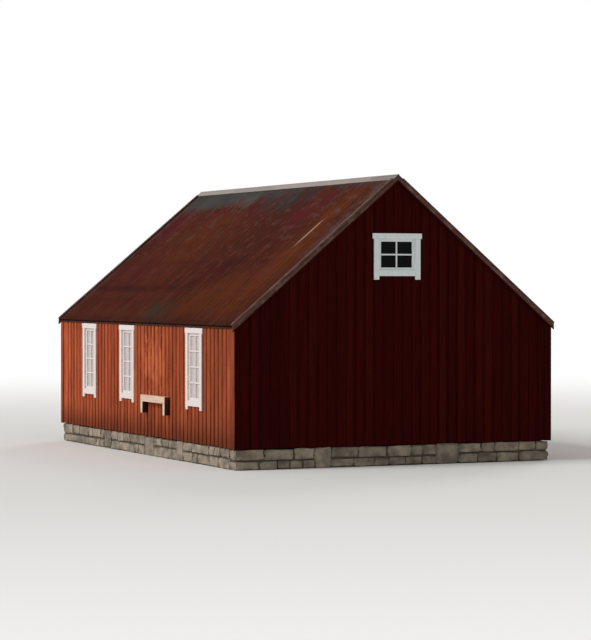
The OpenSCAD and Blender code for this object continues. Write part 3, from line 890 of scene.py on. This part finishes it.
class BOATHOUSE_OT_foundation(bpy.types.Operator):
    """Lays the rubble of the four foundation walls"""
    bl_idname = "boathouse.foundation"
    bl_label = "Foundation"

    def execute(self, context):
        stones = context.scene.boathouse_stones
        draw = random.Random(7)
        shapes = [self.stone(seed) for seed in range(9)]
        for side in WALLS:
            node = f"foundation_{side}"
            low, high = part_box(node)
            core = coat(clean_copy(node), "lime_mortar")
            with editing(core):
                shrink = [1 - 2 * stones.recess / span for span in high - low]
                bpy.ops.transform.resize(value=shrink, center_override=(low + high) / 2)
            laid = [coat(stone, "lime_bedded_rubble") for stone in self.lay(shapes, low, high, draw, stones)]
            set_in_place(joined([*laid, core]), f"{node}_stones", "foundation_stone", node)
        drop(*shapes)
        return {"FINISHED"}

    def stone(self, seed):
        """One rough stone that fills a cube of one metre, to be drawn out to the size of its place."""
        # Shares of the stone: the broken edges, the large bulges and the small chips
        arris, bulge, chip = 0.06, 0.045, 0.012
        stone = started(bpy.ops.mesh.primitive_cube_add, size=1)
        with editing(stone):
            bpy.ops.mesh.bevel(offset=arris, segments=1, affect="EDGES")
            bpy.ops.mesh.subdivide(number_cuts=1)
            bpy.ops.transform.vertex_random(offset=bulge, uniform=1.0, normal=0.0, seed=seed)
            bpy.ops.mesh.subdivide(number_cuts=1, smoothness=0.6)
            bpy.ops.transform.vertex_random(offset=chip, uniform=1.0, normal=0.0, seed=seed + 50)
        return stone

    def course(self, start, end, bottom, top, draw, stones):
        """Places of the stones of one course: where each starts, ends, lies and reaches."""
        uneven = (top - bottom) * 0.06
        places = []
        while start < end - HAIR:
            length = draw.uniform(stones.shortest, stones.longest)
            if end - start - length < stones.shortest:
                length = end - start
            places.append((
                start, start + length, bottom + draw.uniform(0, uneven), top - draw.uniform(0, uneven)))
            start += length
        return places

    def places(self, start, end, bottom, top, draw, stones):
        """Places of a wall's stones: stretches of two courses, with a full-height stone between them."""
        places = []
        while start < end - HAIR:
            stretch = draw.uniform(2.0, 4.0) * stones.longest
            stop = start + stretch
            if end - stop < 2 * stones.longest:
                stop = end
            joint = bottom + (top - bottom) * draw.uniform(0.4, 0.6)
            places += self.course(start, stop, bottom, joint, draw, stones)
            places += self.course(start, stop, joint, top, draw, stones)
            start = stop
            if stop < end:
                start += draw.uniform(stones.shortest, stones.longest)
                places.append((stop, start, bottom, top))
        return places

    def lay(self, shapes, low, high, draw, stones):
        """The stones between the corners of one foundation wall."""
        along = 0 if high.x - low.x > high.y - low.y else 1
        laid = []
        for start, end, bottom, top in self.places(low[along], high[along], low.z, high.z, draw, stones):
            first, last = low.copy(), high.copy()
            first[along], last[along] = start, end
            first.z, last.z = bottom, top
            gap = Vector((0.0, 0.0, stones.joint))
            gap[along] = stones.joint
            turn = Matrix.Rotation(math.pi * draw.randrange(2), 4, "Z")
            scale = Matrix.Diagonal((*(last - first - gap), 1.0))
            laid.append(copied(draw.choice(shapes), Matrix.Translation((first + last) / 2) @ scale @ turn))
            for spot in laid[-1].data.vertices:
                spot.co.z = max(spot.co.z, low.z)
            mark(laid[-1], draw.random())
        return laid


class BOATHOUSE_OT_floors(bpy.types.Operator):
    """Lays the planks of the ground floor and the loft floor"""
    bl_idname = "boathouse.floors"
    bl_label = "Floors"

    def execute(self, context):
        boarding = context.scene.boathouse_boarding
        draw = random.Random(11)
        gap = 0.002
        for node in ("ground_floor", "loft_floor"):
            low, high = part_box(node)
            number = round((high.x - low.x) / boarding.floor_w)
            step = (high.x - low.x) / number
            planks = row(plank(low, (low.x + step - gap, high.y, high.z), boarding.ease), number, step)
            floor = coat(joined_apart(planks, draw), "bare_sawn_spruce_y")
            set_in_place(floor, f"{node}_planks", "bare_timber", node)
        return {"FINISHED"}


class BOATHOUSE_OT_boarding(bpy.types.Operator):
    """Nails the upright boards on the four walls, an outer board over each gap of the inner ones"""
    bl_idname = "boathouse.boarding"
    bl_label = "Boarding"

    def execute(self, context):
        boarding = context.scene.boathouse_boarding
        draw = random.Random(3)
        window = (-GABLE_W / 2, GABLE_W / 2, SASH_LOW.z, SASH_HIGH.z)
        doorway = (DOOR_LOW.x, DOOR_HIGH.x, DOOR_LOW.z, DOOR_HIGH.z)
        # The gables get the red darkened as painted shade, the long walls the sunny red
        dark = ("deep_red_paint_with_painted_shade", "dark_boards")
        bleached = ("sun_bleached_red_oil_paint", "weathered_boards")
        walls = [
            ("front", HALF_W, APEX, [window], ["front_wall"], dark),
            ("back", HALF_W, APEX, [window, doorway],
             ["back_wall_left", "back_wall_right", "back_wall_top"], dark),
        ]
        for side, way in (("left", -1), ("right", 1)):
            holes = [(way * y - TALL_W / 2, way * y + TALL_W / 2, TALL_LOW.z, TALL_HIGH.z) for y in TALL_Y]
            walls.append((side, IN_L, WALL_TOP, holes, [f"{side}_wall"], bleached))
        for side, half, top, holes, nodes, (paint, slot) in walls:
            boards = joined([
                self.layer(boarding, outer, half, top, holes, draw) for outer in (False, True)])
            boards.data.transform(WALLS[side])
            core = self.core(side, nodes, 2 * boarding.board_t + HAIR, paint)
            set_in_place(joined([coat(boards, paint), core]), f"{side}_boarding", slot, *nodes)
        # Corner boards are sunny red, and on the faces that stand on a gable they take the red darkened as
        # painted shade
        dress(
            "corner_boards", "corner_board_pairs", "weathered_boards", boarding.ease,
            "sun_bleached_red_oil_paint", "deep_red_paint_with_painted_shade",
            lambda face: abs(face.center.y) > HALF_L - HAIR)
        return {"FINISHED"}

    def layer(self, boarding, outer, half, top, holes, draw):
        """One layer of boards at the wall's own place, cut round the holes and along the roof."""
        through, out_of_flush = 0.2, 0.0015
        reach = boarding.board_w / 2
        depth, start = (0.0, 0.0) if outer else (boarding.board_t, 0.5)
        number = round(2 * half / boarding.pitch)
        step = 2 * half / number
        cutter = joined([plank((u0, -through, z0), (u1, through, z1)) for u0, u1, z0, z1 in holes])
        source = plank((-reach, depth, BASE_TOP), (reach, depth + boarding.board_t, top), boarding.ease)
        boards = []
        for i in range(number + outer):
            u = (i + start) * step - half
            u = max(min(u, half - reach), reach - half)
            board = copied(source, shifted(u, draw.uniform(0.0, out_of_flush), 0))
            lift = draw.uniform(0.0, boarding.unevenness)
            for spot in board.data.vertices:
                if spot.co.z < (BASE_TOP + top) / 2:
                    spot.co.z += lift
            if any(u + reach > u0 and u - reach < u1 for u0, u1, _, _ in holes):
                applied(board, "BOOLEAN", object=cutter, operation="DIFFERENCE", solver="EXACT")
            boards.append(mark(board, draw.random()))
        drop(source, cutter)
        whole = joined(boards)
        if top == APEX:
            for way in (-1, 1):
                cut_by_plane(whole, (0, 0, APEX - HAIR), (way * SIN, 0, COS))
        return whole

    def core(self, side, nodes, depth, paint):
        """The wall's frame and inner boarding: the CAD wall with its outer face drawn in and painted with
        the wall's paint, on the gables the red darkened as painted shade.
        """
        core = joined([clean_copy(node) for node in nodes])
        back = WALLS[side].inverted()
        with editing(core):
            pick(core, "VERT", lambda spot: abs((back @ spot.co).y) < HAIR)
            bpy.ops.transform.translate(value=WALLS[side].to_3x3() @ Vector((0, depth, 0)))
        coat(core, "bare_sawn_spruce_z")
        coat_faces(core, paint, lambda face: abs((back @ face.center).y - depth) < HAIR)
        return core


class BOATHOUSE_OT_timber_frame(bpy.types.Operator):
    """Eases the posts, tie beams, rafters and ridge beam and gives them their grain"""
    bl_idname = "boathouse.timber_frame"
    bl_label = "Timber frame"

    def execute(self, context):
        ease = context.scene.boathouse_boarding.ease * 1.5
        for node, along in (
                ("wall_posts", "z"), ("tie_beams", "x"), ("rafters", "slope"), ("ridge_beam", "y")):
            dress(node, f"{node}_timber", "bare_timber", ease, f"bare_sawn_spruce_{along}")
        return {"FINISHED"}


class BOATHOUSE_OT_roof_deck(bpy.types.Operator):
    """Lays the roof boards and the battens that carry the sheets"""
    bl_idname = "boathouse.roof_deck"
    bl_label = "Roof deck"

    def execute(self, context):
        roof = context.scene.boathouse_roof
        gap, ease = 0.003, 0.002
        painted = HALF_L - 2 * context.scene.boathouse_boarding.board_t
        number = round(DECK_FOOT / roof.deck_board_w)
        step = DECK_FOOT / number
        last_board = (DECK_FOOT - step) * COS
        draw = random.Random(5)
        for side, place in SLOPES.items():
            way = 1 if side == "right" else -1
            board = plank((0, -DECK_END, 0), (step - gap, DECK_END, roof.deck_board_t), ease)
            batten = plank((0, -DECK_END, roof.deck_board_t), (roof.batten_w, DECK_END, DECK_T), ease)
            parts = row(board, number, step) + row(batten, roof.battens, batten_step(roof))
            deck = joined_apart(parts, draw)
            deck.data.transform(place)
            cut_by_plane(deck, (-way * DECK_LOW.x, 0, 0), (way, 0, 0))
            for y in (-painted, painted):
                cut_by_plane(deck, (0, y, 0), (0, 1, 0), keep=True)
            coat(deck, "bare_sawn_spruce_y")
            # The underside takes the gables' red, darkened as painted shade, where it passes the gables, and
            # the lowest board is darkened as a painted shadow under the eave
            coat_faces(deck, "deep_red_paint_with_painted_shade", lambda face: abs(face.center.y) > painted)
            coat_faces(deck, "dark_wood_for_painted_shade", lambda face: abs(face.center.x) > last_board)
            set_in_place(deck, f"{side}_roof_boards", "bare_timber", f"{side}_roof_deck")
        return {"FINISHED"}


class BOATHOUSE_OT_roof_sheets(bpy.types.Operator):
    """Lays two rows of corrugated sheets on each slope, with their laps and nails"""
    bl_idname = "boathouse.roof_sheets"
    bl_label = "Roof sheets"

    def execute(self, context):
        roof = context.scene.boathouse_roof
        draw = random.Random(13)
        foot = (-SHEET_LOW.x - SHEET_TOP * SIN) / COS
        lift = 0.003
        nail = self.nail(roof)
        for side, place in SLOPES.items():
            parts = self.nails(roof, nail, draw)
            for start, end, rise in ((0.0, roof.lap_down, lift), (roof.lap_down - roof.lap, foot, 0.0)):
                source = self.sheet(roof, start, end, rise)
                for i in range(roof.sheets):
                    sheet = copied(source, shifted(0, i * roof.cover * wave_w(roof) - SHEET_END, DECK_T))
                    parts.append(mark(sheet, draw.random()))
                drop(source)
            sheets = coat(joined(parts), "rusted_corrugated_iron")
            sheets.data.transform(place)
            set_in_place(sheets, f"{side}_roof_iron", "rusted_sheet", f"{side}_roof_sheets")
        drop(nail)
        return {"FINISHED"}

    def nail(self, roof):
        """One roofing nail: a domed head on a round washer."""
        washer_h, washer_top_r = roof.nail_h * 0.4, roof.nail_r * 0.75
        rim, dome = roof.nail_r * 0.3, 0.6
        nail = started(
            bpy.ops.mesh.primitive_cone_add, vertices=10, radius1=roof.nail_r, radius2=washer_top_r,
            depth=washer_h, location=(0, 0, washer_h / 2))
        with editing(nail):
            pick(nail, "FACE", lambda face: face.normal.z > 0.9)
            bpy.ops.mesh.inset(thickness=rim)
            bpy.ops.mesh.extrude_region_move(
                TRANSFORM_OT_translate={"value": (0, 0, roof.nail_h - washer_h)})
            bpy.ops.transform.resize(value=(dome, dome, 1))
        return nail

    def nails(self, roof, nail, draw):
        """The nails of one slope, on every few crests over each batten, at the slope's own place."""
        wave = wave_w(roof)
        aim, clearance = 0.006, 0.05
        crest = DECK_T + roof.wave_h + roof.metal
        below_cap = -CAP_LOW.x / COS + clearance
        laid = []
        for i in range(roof.battens):
            down = max(i * batten_step(roof) + roof.batten_w / 2, below_cap)
            for j in range((roof.sheets * roof.cover + 1) // roof.nail_step):
                y = (j * roof.nail_step + 0.5) * wave - SHEET_END
                laid.append(copied(nail, shifted(down + draw.uniform(-aim, aim), y, crest)))
                mark(laid[-1], draw.random())
        return laid

    def sheet(self, roof, start, end, rise):
        """One sheet, a wave wider than it covers; it rises by rise towards its foot and a little across."""
        waves = roof.cover + 1
        tilt = 1.5 * roof.metal

        def place(down, across):
            crest = roof.wave_h * (1 - math.cos(2 * math.pi * across * waves)) / 2
            return (
                start + down * (end - start), across * waves * wave_w(roof),
                crest + roof.metal + rise * down + tilt * across)
        return sheet_metal(3, waves * 10, place, roof.metal)


class BOATHOUSE_OT_ridge_cap(bpy.types.Operator):
    """Folds the ridge cap from lapped lengths of zinc with a roll on top"""
    bl_idname = "boathouse.ridge_cap"
    bl_label = "Ridge cap"

    def execute(self, context):
        roof = context.scene.boathouse_roof
        draw = random.Random(17)
        # Joints of the cap along the ridge, the four nearest as the photo shows them
        joints = [CAP_LOW.y, -3.96, -3.01, -1.57, 0.70, 2.95, CAP_HIGH.y]
        darkest, dull, bright = 0.0, 0.4, 1.0
        parts = []
        for i, (y0, y1) in enumerate(zip(joints, joints[1:])):
            # Every second length lies on its neighbours
            outline = self.outline(roof, roof.cap_t * (i % 2))
            length = self.bent(outline, y0, min(y1 + roof.cap_lap, CAP_HIGH.y), roof.cap_t)
            # The near length is the darkest
            parts.append(mark(length, draw.uniform(dull, bright) if i else darkest))
        for y in (CAP_LOW.y + 2 * HAIR, CAP_HIGH.y - 2 * HAIR):
            parts.append(mark(self.closing_plate(roof, y), dull))
        set_in_place(coat(joined(parts), "dulled_zinc"), "ridge_cap_lengths", "ridge_metal", "ridge_cap")
        return {"FINISHED"}

    def bent(self, outline, y0, y1, thickness):
        """Sheet metal bent to an XZ outline, its upper face, and running from y0 to y1."""
        folds = len(outline) - 1

        def place(across, along):
            x, z = outline[round(across * folds)]
            return x, y1 if along > 0.5 else y0, z
        return sheet_metal(folds, 1, place, thickness)

    def closing_plate(self, roof, y):
        """The plate that closes an end of the cap, from its upper face down to the sheets."""
        outline = self.outline(roof, 0.0)[1:-1]
        folds = len(outline) - 1

        def place(across, up):
            x, top = outline[round(across * folds)]
            return x, y, top - HAIR if up > 0.5 else APEX + SHEET_TOP / COS - abs(x) * SLOPE
        return sheet_metal(folds, 1, place, roof.cap_t, offset=0)

    def outline(self, roof, lift):
        """The cap from one edge to the other: turned-down lip, flange, roll, flange, lip."""
        roll, lip, air = roof.cap_roll, 0.008, 0.004
        top = CAP_HIGH.z - 2 * HAIR + lift
        face = (SHEET_TOP + air) / COS + APEX + lift
        flange = CAP_HIGH.x - HAIR
        half = [(flange, face - flange * SLOPE - lip), (flange, face - flange * SLOPE)]
        half.append((roll, face - roll * SLOPE))
        for turn in range(0, 90, 15):
            angle = math.radians(turn)
            half.append((roll * math.cos(angle), top - roll + roll * math.sin(angle)))
        return [(-x, z) for x, z in half] + [(0.0, top)] + half[::-1]


class BOATHOUSE_OT_verges(bpy.types.Operator):
    """Fixes the barge boards and the cover boards on both gables"""
    bl_idname = "boathouse.verges"
    bl_label = "Verges"

    def execute(self, context):
        ease = context.scene.boathouse_boarding.ease
        for end in ("front", "back"):
            for node in (f"{end}_barge_boards", f"{end}_verge_covers"):
                dress(node, f"{node}_wood", "verge_boards", ease, "weathered_verge_paint")
        return {"FINISHED"}


class BOATHOUSE_OT_windows(bpy.types.Operator):
    """Builds the gable window and the tall window once and sets them in their holes"""
    bl_idname = "boathouse.windows"
    bl_label = "Windows"

    def execute(self, context):
        trim = context.scene.boathouse_windows
        for side, wall in WALLS.items():
            if side in ("front", "back"):
                # The gable windows take the white and glass of painted shade and dark reflection, the tall
                # windows those of painted sunlight and sky reflection
                w, h, cols, rows, places = GABLE_W, GABLE_H, 2, 2, [shifted(0, 0, SASH_LOW.z)]
                white, glass, trims, sashes = "white_paint_with_painted_shade", "glass_with_painted_dark_reflection", "trim", "sash"
            else:
                way = 1 if side == "right" else -1
                w, h, cols, rows = TALL_W, TALL_H, 2, 4
                places = [shifted(way * y, 0, TALL_LOW.z) for y in TALL_Y]
                white, glass, trims, sashes = "white_paint_with_painted_sunlight", "glass_with_painted_sky_reflection", "trims", "sashes"
            for source, paint, slot, word, node in (
                    (self.surround(trim, w, h), white, "white_joinery", "surrounds", trims),
                    (self.sash(trim, w, h, cols, rows), white, "white_joinery", "frames", sashes),
                    (self.panes(trim, w, h, cols, rows), glass, "window_glass", "panes", "glass")):
                piece = joined([copied(source, wall @ place) for place in places])
                drop(source)
                set_in_place(coat(piece, paint), f"{side}_window_{word}", slot, f"{side}_window_{node}")
        return {"FINISHED"}

    def surround(self, trim, w, h):
        """Head board, side boards and bottom board round a hole, and the lining of the hole."""
        in_x = w / 2 - trim.trim_lap
        out_x = in_x + trim.trim_w
        head_x = out_x + trim.head_ear
        top = h - trim.trim_lap
        foot = trim.trim_lap - trim.trim_w
        face, gap = -trim.trim_t, HAIR
        return joined_apart([
            plank((-head_x, face, top), (head_x, 0, top + trim.head_h), trim.ease),
            plank((-out_x, face, foot - trim.foot_ear), (-in_x, 0, top - gap), trim.ease),
            plank((in_x, face, foot - trim.foot_ear), (out_x, 0, top - gap), trim.ease),
            plank((gap - in_x, face, foot), (in_x - gap, 0, trim.trim_lap), trim.ease),
            *self.four_sides(w, h, trim.lining_t, HAIR / 2, trim.reveal, HAIR),
        ])

    def four_sides(self, w, h, wide, front, back, ease):
        """Two uprights and the two rails between them that fill the edge of a hole."""
        inner = w / 2 - wide
        return [
            plank((-w / 2, front, 0), (-inner, back, h), ease),
            plank((inner, front, 0), (w / 2, back, h), ease),
            plank((-inner, front, 0), (inner, back, wide), ease),
            plank((-inner, front, h - wide), (inner, back, h), ease),
        ]

    def sash(self, trim, w, h, cols, rows):
        """Stiles, rails and glazing bars, with a thinner bar behind the glass."""
        front, back = trim.reveal, trim.reveal + trim.sash_d
        glass = front + trim.lip
        side, bar = trim.sash_w, trim.bar_w
        half_w, inner_h = w / 2 - side, h - 2 * side
        parts = self.four_sides(w, h, side, front, back, trim.ease)
        face, bed = glass - HAIR / 2, glass + 0.006
        set_in, set_back, thinner = 0.002, 0.01, bar * 0.2
        # Where a bar's front and back stand, and how much of its width is cut off at each side. The
        # crossbars stand a little further in, so that no two faces lie in one plane
        uprights = ((front + set_in, face, 0.0), (bed, back - set_back, thinner))
        crossbars = ((front + set_in + HAIR, face, 0.0), (bed, back - set_back - 2 * HAIR, thinner))
        for i in range(1, cols):
            x = i * (2 * half_w + bar) / cols - bar - half_w
            for y0, y1, cut in uprights:
                parts.append(plank((x + cut, y0, side), (x + bar - cut, y1, h - side), trim.ease))
        for j in range(1, rows):
            z = j * (inner_h + bar) / rows - bar + side
            for y0, y1, cut in crossbars:
                parts.append(plank((-half_w, y0, z + cut), (half_w, y1, z + bar - cut), trim.ease))
        return joined_apart(parts)

    def panes(self, trim, w, h, cols, rows):
        """Wavy panes, one in each opening, each bedded a little differently."""
        draw = random.Random(cols * 10 + rows)
        waviness, tilt, slack = 0.0006, 0.2, 0.0028
        inner_w, inner_h = w - 2 * trim.sash_w, h - 2 * trim.sash_w
        pane_w = (inner_w - (cols - 1) * trim.bar_w) / cols
        pane_h = (inner_h - (rows - 1) * trim.bar_w) / rows
        source = started(
            bpy.ops.mesh.primitive_grid_add, x_subdivisions=5, y_subdivisions=5, size=1,
            rotation=(math.pi / 2, 0, 0))
        with editing(source):
            bpy.ops.transform.resize(value=(pane_w + 2 * trim.bite, 1, pane_h + 2 * trim.bite))
            bpy.ops.transform.vertex_random(offset=waviness, uniform=0.0, normal=1.0, seed=4)
        applied(source, "SOLIDIFY", thickness=trim.pane_t, offset=0)
        y = trim.reveal + trim.lip + slack
        panes = []
        for i in range(cols):
            for j in range(rows):
                x = (i + 0.5) * pane_w + i * trim.bar_w - inner_w / 2
                z = (j + 0.5) * pane_h + j * trim.bar_w + trim.sash_w
                lean = Matrix.Rotation(math.radians(draw.uniform(-tilt, tilt)), 4, "X")
                panes.append(mark(copied(source, shifted(x, y, z) @ lean), draw.random()))
        drop(source)
        return joined(panes)


class BOATHOUSE_OT_shelf(bpy.types.Operator):
    """Finishes the shelf and its brackets on the left wall"""
    bl_idname = "boathouse.shelf"
    bl_label = "Wall shelf"

    def execute(self, context):
        ease = context.scene.boathouse_windows.ease
        for node in ("shelf_board", "shelf_brackets"):
            # The ends, which face along the wall, are darkened as painted shade
            dress(
                node, f"{node}_painted", "shelf_timber", ease, "cream_oil_paint", "dark_wood_for_painted_shade",
                lambda face: abs(face.normal.y) > 0.6)
        return {"FINISHED"}


class BOATHOUSE_OT_boat_doors(bpy.types.Operator):
    """Makes the boat doors of planks on ledges, with their frame, surround and strap hinges"""
    bl_idname = "boathouse.boat_doors"
    bl_label = "Boat doors"

    def execute(self, context):
        doors = context.scene.boathouse_doors
        ease = context.scene.boathouse_boarding.ease
        for node, name in (("door_frame", "door_frame_wood"), ("door_trim", "door_surround")):
            dress(node, name, "white_joinery", ease, "white_paint_with_painted_shade")
        for node in ("boat_door_left", "boat_door_right"):
            # The leaves take the gables' red, darkened as painted shade
            leaf = coat(self.leaf(doors, *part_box(node), ease), "deep_red_paint_with_painted_shade")
            set_in_place(leaf, f"{node}_planks", "dark_boards", node)
        low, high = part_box("door_hinges")
        straps = []
        for way in (-1, 1):
            for z in (low.z + doors.strap_h / 2, high.z - doors.strap_h / 2):
                straps += self.strap(doors, way, way * high.x, low.y, high.y, z)
        hinges = coat(joined(straps), "forged_black_iron")
        set_in_place(hinges, "door_strap_hinges", "forged_iron", "door_hinges")
        return {"FINISHED"}

    def leaf(self, doors, low, high, ease):
        """Upright planks outside, and three ledges inside."""
        gap, ledge_end = 0.004, 0.03
        face = high.y - doors.plank_t
        step = (high.x - low.x) / doors.planks
        first = plank((low.x, face, low.z), (low.x + step - gap, high.y, high.z), ease)
        parts = row(first, doors.planks, step)
        bottom, top = low.z + doors.ledge_in, high.z - doors.ledge_in - doors.ledge_h
        for z in (bottom, (bottom + top) / 2, top):
            parts.append(plank(
                (low.x + ledge_end, low.y, z), (high.x - ledge_end, face, z + doors.ledge_h), ease))
        return joined_apart(parts, random.Random(23))

    def strap(self, doors, way, end_x, y0, y1, z):
        """One strap hinge, tapering from its broad end at end_x, with its round end and four bolts."""
        taper, ease, bolt_places = 0.5, 0.0012, (0.12, 0.36, 0.6, 0.84)
        tip_x = end_x - way * doors.strap_l
        half_h = doors.strap_h / 2
        bar = plank((min(end_x, tip_x), y0, z - half_h), (max(end_x, tip_x), y1, z + half_h), ease)
        for spot in bar.data.vertices:
            share = abs(spot.co.x - end_x) / doors.strap_l
            spot.co.z = z + (spot.co.z - z) * (1 - taper * share)
        bolts = [
            self.disc(end_x - way * doors.strap_l * share, y1 - HAIR, y1 + doors.bolt_h, z, doors.bolt_r)
            for share in bolt_places]
        return [bar, self.disc(tip_x + way * doors.eye_r, y0, y1, z, doors.eye_r), *bolts]

    def disc(self, x, y0, y1, z, radius):
        """A round forged head or eye, its outer edge eased."""
        head = started(
            bpy.ops.mesh.primitive_cylinder_add, vertices=16, radius=radius, depth=y1 - y0,
            location=(x, (y0 + y1) / 2, z), rotation=(math.pi / 2, 0, 0))
        rounding = (y1 - y0) * 0.4
        return applied(head, "BEVEL", width=rounding, segments=2, limit_method="ANGLE")


class BOATHOUSE_OT_stage(bpy.types.Operator):
    """Sets the camera, the lights and the pale floor"""
    bl_idname = "boathouse.stage"
    bl_label = "Stage"

    def execute(self, context):
        stage = context.scene.boathouse_stage
        eye, aim = Vector(stage.eye), Vector(stage.aim)
        bpy.ops.object.camera_add(location=eye, rotation=(aim - eye).to_track_quat("-Z", "Y").to_euler())
        camera = context.object
        camera.name = "photo_camera"
        camera.data.lens = stage.lens
        camera.data.clip_end = 2000.0
        context.scene.camera = camera
        self.sun("low_sun", towards=(-0.80, 0.05, 0.60), power=stage.sun)
        self.sun("back_sun", towards=(0.6, 0.6, 0.5), power=stage.back)
        self.sky(context.scene, stage.sky)
        floor = started(
            bpy.ops.mesh.primitive_circle_add, vertices=96, radius=stage.floor_r, fill_type="NGON")
        floor.name = "studio_floor"
        coat(floor, "matt_studio_floor")
        context.scene.view_settings.view_transform = "Standard"
        return {"FINISHED"}

    def sun(self, name, towards, power):
        """A soft sun that shines from the direction towards."""
        turn = Vector(towards).to_track_quat("Z", "Y").to_euler()
        bpy.ops.object.light_add(type="SUN", rotation=turn)
        lamp = bpy.context.object
        lamp.name = name
        lamp.data.energy = power
        lamp.data.angle = math.radians(20)

    def sky(self, scene, power):
        """Even light all round; the camera, gloss and glass see it as plain white."""
        scene.world = bpy.data.worlds.new("studio_sky")
        scene.world.use_nodes = True
        tree = scene.world.node_tree
        tree.nodes.clear()
        level = add(tree, "MapRange", {"Value": seen(tree), "To Min": power, "To Max": 1.0})
        light = add(tree, "Background", {"Color": linear("#FFFFFF"), "Strength": level})
        add(tree, "OutputWorld", {"Surface": light})


class BOATHOUSE_PT_panel(bpy.types.Panel):
    bl_label = "Boathouse"
    bl_idname = "BOATHOUSE_PT_panel"
    bl_space_type = "VIEW_3D"
    bl_region_type = "UI"
    bl_category = "Boathouse"

    def draw(self, context):
        for operator in OPERATORS:
            self.layout.operator(operator.bl_idname)
        for name, group in SETTINGS.items():
            box = self.layout.box()
            box.label(text=name.replace("_", " ").capitalize())
            for setting in group.__annotations__:
                box.prop(getattr(context.scene, name), setting)


OPERATORS = (
    BOATHOUSE_OT_foundation,
    BOATHOUSE_OT_floors,
    BOATHOUSE_OT_boarding,
    BOATHOUSE_OT_timber_frame,
    BOATHOUSE_OT_roof_deck,
    BOATHOUSE_OT_roof_sheets,
    BOATHOUSE_OT_ridge_cap,
    BOATHOUSE_OT_verges,
    BOATHOUSE_OT_windows,
    BOATHOUSE_OT_shelf,
    BOATHOUSE_OT_boat_doors,
    BOATHOUSE_OT_stage,
)
SETTINGS = {
    "boathouse_boarding": BoardingSettings,
    "boathouse_roof": RoofSettings,
    "boathouse_windows": WindowSettings,
    "boathouse_doors": DoorSettings,
    "boathouse_stones": StoneSettings,
    "boathouse_paint": PaintSettings,
    "boathouse_stage": StageSettings,
}


def register():
    for group in (*SETTINGS.values(), *OPERATORS, BOATHOUSE_PT_panel):
        bpy.utils.register_class(group)
    for name, group in SETTINGS.items():
        setattr(bpy.types.Scene, name, PointerProperty(type=group))


def unregister():
    for name in SETTINGS:
        delattr(bpy.types.Scene, name)
    for group in (BOATHOUSE_PT_panel, *reversed(OPERATORS), *SETTINGS.values()):
        bpy.utils.unregister_class(group)


def main():
    register()
    for operator in OPERATORS:
        name = operator.bl_idname.split(".")[1]
        getattr(bpy.ops.boathouse, name)()


if __name__ == "__main__":
    main()
